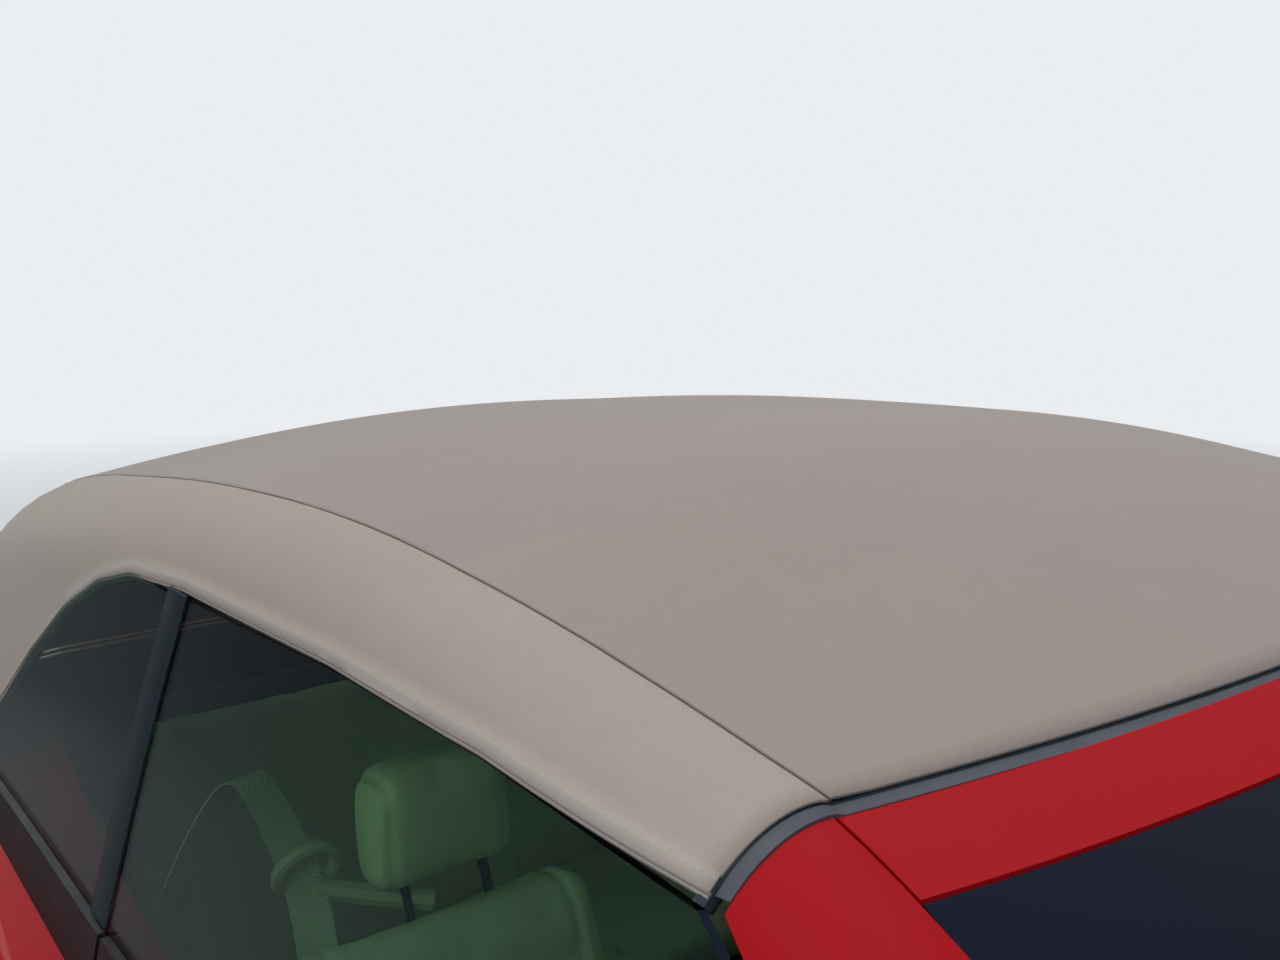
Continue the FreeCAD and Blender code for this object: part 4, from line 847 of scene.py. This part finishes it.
flute = [(lambda co: abs(abs(co.y) - 0.30) - 0.12, 0.006, 0.006), (lambda co: abs(co.y), 0.008, 0.006)]
blank = block((-0.222, -0.535, -0.050), (0.222, 0.535, 0.048), 0.030, 3)
lower = stuffed(blank, 0.011, rear_cushion, 0.012, flute)
bmesh.ops.transform(lower, matrix=Matrix.Translation((-0.925, 0, 0.372)), verts=lower.verts)
blank = block((-0.045, -0.530, -0.250), (0.045, 0.530, 0.250), 0.030, 3)
upper = stuffed(blank, 0.011, rear_back, 0.012, flute)
leaning = Matrix.Translation((-1.190, 0, 0.612)) @ Matrix.Rotation(math.radians(-20), 4, "Y")
bmesh.ops.transform(upper, matrix=leaning, verts=upper.verts)
for label, mesh in (("cushion", lower), ("back", upper)):
    pad = piece("rear_" + label, mesh, "chassis", hide, crisp=180.0)
    smooth = pad.modifiers.new("soft", "SUBSURF")
    smooth.levels = smooth.render_levels = 1
    if label == "cushion":
        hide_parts("rear_seat")


# Front belts: stone webbing from a slot in the rear side trim, over the seat's
# shoulder through a moulded guide ring, and down beside the cushion.
webbing = Finish("belt webbing", roughness=0.7)
spot = webbing.place()
rib = (webbing.axis(spot, "X") * 2600.0 + webbing.axis(spot, "Z") * 2600.0).sine()
webbing.feed("base_color", webbing.blend(rib * 0.5 + 0.5, (0.40, 0.40, 0.34, 1), (0.52, 0.50, 0.42, 1)))
webbing.relief(rib, 0.0003, 0.5)


def strap(points, width, thick, across):
    """A flat band: an edge laid across the route, drawn along it and given its thickness."""
    guide = line_of(points, 0.0)
    route = [vert.co.copy() for vert in guide.verts]
    guide.free()
    band = bmesh.new()
    edge = [band.verts.new(route[0] + Vector(across[0]).normalized() * width * end) for end in (-0.5, 0.5)]
    edges = [band.edges.new(edge)]
    for step in range(1, len(route)):
        share = step / (len(route) - 1) * (len(across) - 1)
        index = min(int(share), len(across) - 2)
        lean = Vector(across[index]).lerp(Vector(across[index + 1]), share - index).normalized()
        grown = bmesh.ops.extrude_edge_only(band, edges=edges)["geom"]
        ends = [item for item in grown if isinstance(item, bmesh.types.BMVert)]
        drawn = [item for item in grown if isinstance(item, bmesh.types.BMEdge)]
        edges = [item for item in drawn if all(v in ends for v in item.verts)]
        ends.sort(key=lambda vert: (vert.co - route[step - 1]).dot(lean))
        for vert, end in zip(ends, (-0.5, 0.5)):
            vert.co = route[step] + lean * width * end
    bmesh.ops.recalc_face_normals(band, faces=band.faces)
    bmesh.ops.solidify(band, geom=band.faces[:], thickness=thick)
    return band


for side, letter in SIDES:
    route = [(-0.570, side * 0.635, 0.866), (-0.550, side * 0.620, 0.930), (-0.510, side * 0.580, 1.040),
             (-0.484, side * 0.560, 1.058), (-0.462, side * 0.540, 0.990), (-0.444, side * 0.522, 0.925),
             (-0.392, side * 0.530, 0.858), (-0.330, side * 0.560, 0.700), (-0.240, side * 0.625, 0.500),
             (-0.200, side * 0.655, 0.350)]
    leans = [(0.25, side, 0.1), (0.3, side, 0), (-0.45, side, 0), (-1, side * 0.5, 0)]
    piece("belt_" + letter, strap(route, 0.044, 0.0014, leans), "chassis", webbing)
    turns = [math.radians(20 * step) for step in range(18)]
    rim = [Vector((-0.443 + 0.012 * math.sin(turn), side * 0.519 + 0.036 * math.cos(turn),
                   0.940 + 0.030 * math.sin(turn))) for turn in turns]
    ring = line_of(rim, 0.0080, closed=True)
    bracket = line_of([(-0.440, side * 0.512, 0.918), (-0.425, side * 0.480, 0.906),
                       (-0.405, side * 0.445, 0.899), (-0.380, side * 0.395, 0.888)], 0.0125)
    piece("belt_guide_" + letter, joined([ring, bracket]), "chassis", stone)
    hook = line_of([(x, side * 0.640, z) for x, z in (
        (-1.078, 0.866), (-1.078, 0.882), (-1.062, 0.886), (-1.054, 0.878))], 0.003)
    piece("trim_hook_" + letter, hook, "chassis", chrome)


# The folding frame: black painted steel bows and rails under the cloth.
steel = Finish("black frame paint", roughness=0.45, metallic=0.2)
spot = steel.place()
steel.feed("base_color", steel.blend(
    steel.noise(spot, 18.0), (0.012, 0.012, 0.013, 1), (0.035, 0.034, 0.033, 1)))
steel.dress("top_frame")

# Rubber seals: the grey strip between the cloth and the header.
seal = Finish("grey seal rubber", roughness=0.6)
spot = seal.place()
seal.feed("base_color", seal.blend(
    seal.noise(spot, 30.0, 4.0), (0.060, 0.066, 0.085, 1), (0.115, 0.118, 0.130, 1)))
seal.relief(seal.noise(spot, 600.0), 0.0002, 0.5)
seal.dress("header_seal")


# The roof cloth: acrylic twill over a dark lining, stretched across the bows. A
# top panel is lapped over two side panels along a sewn seam, a cross seam runs
# over the rear bow, and the side hems are turned up and stitched.
canvas = Finish("tan canvas", roughness=0.92, sheen_weight=0.25, sheen_roughness=0.4)
spot = canvas.place(uv=True)
length_way = canvas.axis(spot, "X")
cross_way = canvas.axis(spot, "Y")
hem_gap = canvas.node("ShaderNodeAttribute", {"attribute_name": "hem_gap"}, (), "Fac")
seam_gap = canvas.node("ShaderNodeAttribute", {"attribute_name": "seam_gap"}, (), "Fac")
twill = (length_way * 3900.0 + cross_way * 3900.0).sine()
slub = canvas.noise(canvas.place(scale=(900.0, 260.0, 1.0), uv=True), 1.0, 2.0)
stain = canvas.noise(canvas.place(scale=(3.2, 1.3, 1.0), uv=True), 1.0, 5.0, 0.62)
worn = canvas.noise(canvas.place(scale=(38.0, 38.0, 1.0), uv=True), 1.0, 4.0)
# The same cloth is painted darker on the top panel and lighter on the side panels: painted shade on the top,
# painted light on the sides.
top_panel_painted_shade = canvas.blend(stain, (0.335, 0.276, 0.244, 1), (0.425, 0.352, 0.308, 1))
side_panel_painted_light = canvas.blend(stain, (0.450, 0.375, 0.312, 1), (0.490, 0.412, 0.345, 1))
panel_colour_painted_light = canvas.blend((seam_gap > 0.0), top_panel_painted_shade, side_panel_painted_light)
panel_colour_painted_light = canvas.blend((hem_gap < 0.0127) * 0.7, panel_colour_painted_light, (0.500, 0.440, 0.400, 1))
uneven = (twill * 0.04 + slub * 0.5 + worn * 0.35).clamped() * 0.55
threads = canvas.blend(uneven, panel_colour_painted_light, (0.255, 0.222, 0.190, 1))
stitch = (abs(hem_gap - 0.0092) < 0.0007) * ((length_way * (2 * math.pi / 0.0055)).sine() > -0.35)
# The dark line along the seam's groove is painted shade.
seam_painted_shade = abs(seam_gap) < 0.0008
threads = canvas.blend(stitch, threads, (0.47, 0.43, 0.37, 1))
threads = canvas.blend(seam_painted_shade * 0.8, threads, (0.09, 0.075, 0.06, 1))
canvas.feed("base_color", threads)
canvas.relief(twill * 0.1 + slub + stitch * 2.0, 0.00035, 0.5)
lining = Finish("dark lining", roughness=0.9)
spot = lining.place()
lining.feed("base_color", lining.blend(
    lining.noise(spot, 700.0), (0.02, 0.02, 0.021, 1), (0.05, 0.048, 0.046, 1)))
lining.relief(lining.noise(spot, 500.0), 0.0004, 0.5)

# The seam's distance from the middle along the car, and each fold's two ends as
# (along, below the seam), its width and its height.
SEAM_LINE = [(0.50, 0.545), (0.36, 0.552), (0.0, 0.566), (-0.40, 0.571), (-0.80, 0.567), (-1.24, 0.552),
             (-1.50, 0.500), (-1.80, 0.400)]
REAR_BOW = -1.24
REAR_CORNER = -0.985
BOWS = (0.35, -0.12, -0.56, -0.96, REAR_BOW)
FOLDS = [((-1.225, 0.012), (-1.030, 0.085), 0.018, -0.0032),
         ((-1.195, 0.020), (-1.130, 0.140), 0.016, 0.0022),
         ((-1.000, 0.030), (-0.780, 0.060), 0.022, -0.0016),
         ((-1.320, 0.030), (-1.480, 0.180), 0.024, -0.0026),
         ((-1.290, 0.050), (-1.380, 0.220), 0.020, 0.0018)]
LAP = 0.0060
GROOVE = 0.0014
HEM = 0.0134
roof = node["soft_top"].data
facets = [list(poly.vertices) for poly in roof.polygons]
roof_skin = BVHTree.FromPolygons([vert.co for vert in roof.vertices], facets)


def between(table, x):
    """The value of a table of (x, value) rows, which run from front to rear, at x."""
    for (x0, v0), (x1, v1) in zip(table, table[1:]):
        if x >= x1:
            return v0 + (v1 - v0) * (x - x0) / (x1 - x0)
    return table[-1][1]


def roof_hit(start, toward, furthest):
    """The roof's outside where a line from start meets it, rounded between the corners of the facet."""
    at, _, index, _ = roof_skin.ray_cast(start, toward, furthest)
    if at is None:
        return None
    poly = roof.polygons[index]
    corners = [roof.vertices[vert].co for vert in poly.vertices]
    lift = Vector()
    for weight, corner, loop in zip(poly_3d_calc(corners, at), corners, poly.loop_indices):
        normal = roof.corner_normals[loop].vector
        lift += weight * (corner - at).dot(normal) * normal
    return at + lift * 0.75


def front_bow(y):
    """How far the front edge runs ahead of the corner of the header."""
    return 0.077 - 2.046 + math.sqrt(2.046 ** 2 - y * y) if abs(y) < 0.556 else (abs(y) - 0.556) * 0.027


def row_point(row, turn):
    """The roof on one cross row, at a lean from upright towards the passenger's side."""
    away = Vector((0.0, -math.sin(turn), math.cos(turn)))
    share = max(0.0, 1.0 - (0.35 - row) / 0.45) ** 2
    x = row
    found = None
    for _ in range(4 if share else 1):
        found = roof_hit(Vector((x, 0.0, 0.75)) + away * 1.2, -away, 1.1)
        if found is None:
            return None
        x = row + front_bow(found.y) * share
    return found


rows = [0.3495]
while rows[-1] > -1.762:
    rows.append(rows[-1] - 0.0165)
rows = [row for row in rows if abs(row - REAR_BOW) > 0.008 and abs(row - REAR_CORNER) > 0.006]
rows += [REAR_BOW + gap for gap in (LAP, GROOVE, 0.0, -GROOVE, -LAP)]
rows += [REAR_CORNER + 0.0008, REAR_CORNER - 0.0012, -1.7790]
rows.sort(reverse=True)
cloth = bmesh.new()
gap_layer = cloth.verts.layers.float.new("hem_gap")
seam_layer = cloth.verts.layers.float.new("seam_gap")
flat_layer = cloth.loops.layers.uv.new("weave")
flat_spots = {}
lattice = []
hem_line = []
foot_line = []
SAMPLES = 90
for row in rows:
    lean = 1.48
    while row_point(row, lean) is None:
        lean -= 0.02
    miss = lean + 0.02
    for _ in range(14):
        middle = (lean + miss) / 2
        if row_point(row, middle) is None:
            miss = middle
        else:
            lean = middle
    turns = [lean * (1 - step / SAMPLES) for step in range(SAMPLES + 1)]
    trail = []
    for turn in turns:
        found = row_point(row, turn)
        if found is None:
            found = trail[-1] + (trail[-1] - trail[-2]) if len(trail) > 1 else trail[-1]
            found = Vector((row, -math.sin(turn) * (found.z - 0.75) / math.cos(turn), found.z))
        trail.append(found)
    run = [0.0]
    for before, after in zip(trail, trail[1:]):
        run.append(run[-1] + (after - before).length)
    seam_y = between(SEAM_LINE, row)
    cross = next(step for step in range(1, SAMPLES + 1) if abs(trail[step].y) <= seam_y)
    share = (abs(trail[cross - 1].y) - seam_y) / max(1e-9, abs(trail[cross - 1].y) - abs(trail[cross].y))
    seam_at = run[cross - 1] + (run[cross] - run[cross - 1]) * share
    stations = [0.0, 0.0016, 0.0065, 0.0118, HEM]
    stations += [HEM + (seam_at - LAP - HEM) * step / 12 for step in range(1, 12)]
    stations += [seam_at + gap for gap in (-LAP, -GROOVE, 0.0, GROOVE, LAP)]
    stations += [seam_at + LAP + (run[-1] - seam_at - LAP) * step / 26 for step in range(1, 27)]
    line = []
    for station in stations:
        step = max(1, next((k for k in range(1, SAMPLES + 1) if run[k] >= station - 1e-9), SAMPLES))
        share = (station - run[step - 1]) / max(1e-9, run[step] - run[step - 1])
        turn = turns[step - 1] + (turns[step] - turns[step - 1]) * share
        found = row_point(row, turn) or trail[step - 1].lerp(trail[step], share)
        vert = cloth.verts.new(found)
        vert[gap_layer] = station if row > REAR_CORNER else 1.0
        vert[seam_layer] = seam_at - station
        flat_spots[vert] = (0.35 - row, run[-1] - station)
        line.append(vert)
    lattice.append(line)
    (hem_line if row > REAR_CORNER else foot_line).append(line[0].co.copy())
for ahead, behind in zip(lattice, lattice[1:]):
    for near in range(len(ahead) - 1):
        face = cloth.faces.new((ahead[near], ahead[near + 1], behind[near + 1], behind[near]))
        for loop in face.loops:
            loop[flat_layer].uv = flat_spots[loop.vert]


WINDOW_MIDDLE = -1.4775
WINDOW_HALF = 0.1725
WINDOW_CORNER = 0.070
BINDING_GAP = 0.0022


def window_gap(x, y):
    """How far a point in plan lies outside the rear window's opening."""
    half = 0.430 + (WINDOW_MIDDLE + WINDOW_HALF - x) / (2 * WINDOW_HALF) * -0.060
    out_x = abs(x - WINDOW_MIDDLE) - WINDOW_HALF + WINDOW_CORNER
    out_y = abs(y) - half + WINDOW_CORNER
    return math.hypot(max(out_x, 0.0), max(out_y, 0.0)) + min(max(out_x, out_y), 0.0) - WINDOW_CORNER


for vert in cloth.verts:
    for _ in range(3):
        gap = window_gap(vert.co.x, vert.co.y)
        if abs(gap) > 0.0105:
            break
        beside = [window_gap(vert.co.x + 1e-4, vert.co.y), window_gap(vert.co.x, vert.co.y + 1e-4)]
        slope = Vector((beside[0] - gap, beside[1] - gap, 0))
        vert.co -= slope.normalized() * (gap - 0.0015)
        down = roof_hit(Vector((vert.co.x, vert.co.y, 2.0)), Vector((0, 0, -1)), 1.2)
        vert.co.z = down.z if down else vert.co.z
opening = [face for face in cloth.faces if window_gap(*face.calc_center_median().xy) < 0.0]
bmesh.ops.delete(cloth, geom=opening, context="FACES")
for line in lattice:
    if line[-1].is_valid:
        line[-1].co.y = 0.0
bmesh.ops.mirror(cloth, geom=cloth.verts[:] + cloth.edges[:] + cloth.faces[:], axis="Y", merge_dist=1e-4)
bmesh.ops.recalc_face_normals(cloth, faces=cloth.faces)
if sum(face.normal.z for face in cloth.faces) < 0:
    bmesh.ops.reverse_faces(cloth, faces=cloth.faces[:])
cloth.normal_update()
front_line = [vert.co.copy() for vert in lattice[0]]
front_line += [Vector((p.x, -p.y, p.z)) for p in reversed(front_line[:-1])]
rises = []
for vert in cloth.verts:
    x = vert.co.x
    rise = 0.0016 if 0.001 < vert[gap_layer] < 0.0125 else 0.0
    drop = vert[seam_layer]
    if x > REAR_BOW - 0.003:
        rise += 0.0010 if -0.0062 < drop < -0.0010 else 0.0
        rise -= 0.0007 if abs(drop) < 0.0008 else 0.0
    rise += 0.0010 if 0.0010 < x - REAR_BOW < 0.0065 else 0.0
    rise -= 0.0007 if abs(x - REAR_BOW) < 0.0008 else 0.0
    for ahead, behind in zip(BOWS, BOWS[1:]):
        if behind < x < ahead:
            share = (x - behind) / (ahead - behind)
            rise -= 0.0024 * math.sin(math.pi * share) ** 2 * math.exp(-(vert.co.y / 0.50) ** 6)
    for first, last, width, depth in FOLDS:
        step = Vector((last[0] - first[0], last[1] - first[1]))
        start = Vector((x - first[0], drop - first[1]))
        share = min(1.0, max(0.0, start.dot(step) / step.length_squared))
        away = (start - step * share).length
        rise += depth * math.exp(-(away / width) ** 2) * math.sin(math.pi * (0.15 + 0.7 * share))
    rises.append((vert, vert.normal * rise))
for vert, move in rises:
    vert.co += move
top = piece("roof_cloth", cloth, "chassis", canvas, outward=False, crisp=50.0)
top.data.materials.append(lining.material)
wall = top.modifiers.new("thickness", "SOLIDIFY")
wall.thickness = 0.0024
wall.offset = -1.0
wall.material_offset = 1
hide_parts("soft_top")


# Bindings: a piped edge along each side hem, a grey seal below it, a flat
# binding round the rear window and one along the foot of the cloth.
piping = Finish("piped edge", roughness=0.85)
spot = piping.place()
piping.feed("base_color", piping.blend(
    piping.noise(spot, 420.0), (0.46, 0.41, 0.37, 1), (0.38, 0.34, 0.30, 1)))
piping.relief(piping.noise(spot, 1500.0), 0.0003, 0.6)
for side, letter in SIDES:
    edge = [Vector((p.x, p.y * -side, p.z)) for p in hem_line]
    inward = Vector((0, -side, 0))
    rim = line_of([p + inward * 0.0016 + Vector((0, 0, -0.0012)) for p in edge], 0.0021, smooth=False)
    piece("hem_piping_" + letter, rim, "chassis", piping)
    strip = line_of([p + inward * 0.0072 + Vector((0, 0, -0.0040)) for p in edge], 0.0042, smooth=False)
    piece("side_seal_" + letter, strip, "chassis", seal)
nose_edge = [Vector((p.x - 0.004, p.y, p.z - 0.0085)) for p in front_line]
piece("header_gasket", line_of(nose_edge, 0.0065, smooth=False), "chassis", channel)
foot = [Vector((p.x, p.y, p.z + 0.002)) for p in foot_line]
foot += [Vector((p.x, -p.y, p.z)) for p in reversed(foot)]
piece("foot_binding", line_of(foot, 0.0034, smooth=False), "chassis", piping)
outline = []
for step in range(120):
    turn = math.radians(3 * step)
    inner, outer = 0.0, 0.8
    for _ in range(22):
        middle = (inner + outer) / 2
        if window_gap(WINDOW_MIDDLE + middle * math.cos(turn), middle * math.sin(turn)) < BINDING_GAP:
            inner = middle
        else:
            outer = middle
    at = Vector((WINDOW_MIDDLE + inner * math.cos(turn), inner * math.sin(turn), 2.0))
    found = roof_hit(at, Vector((0, 0, -1)), 1.2)
    if found:
        outline.append(found + Vector((0, 0, 0.0006)))
piece("window_binding", line_of(outline, 0.0040, smooth=False, closed=True), "chassis", piping)
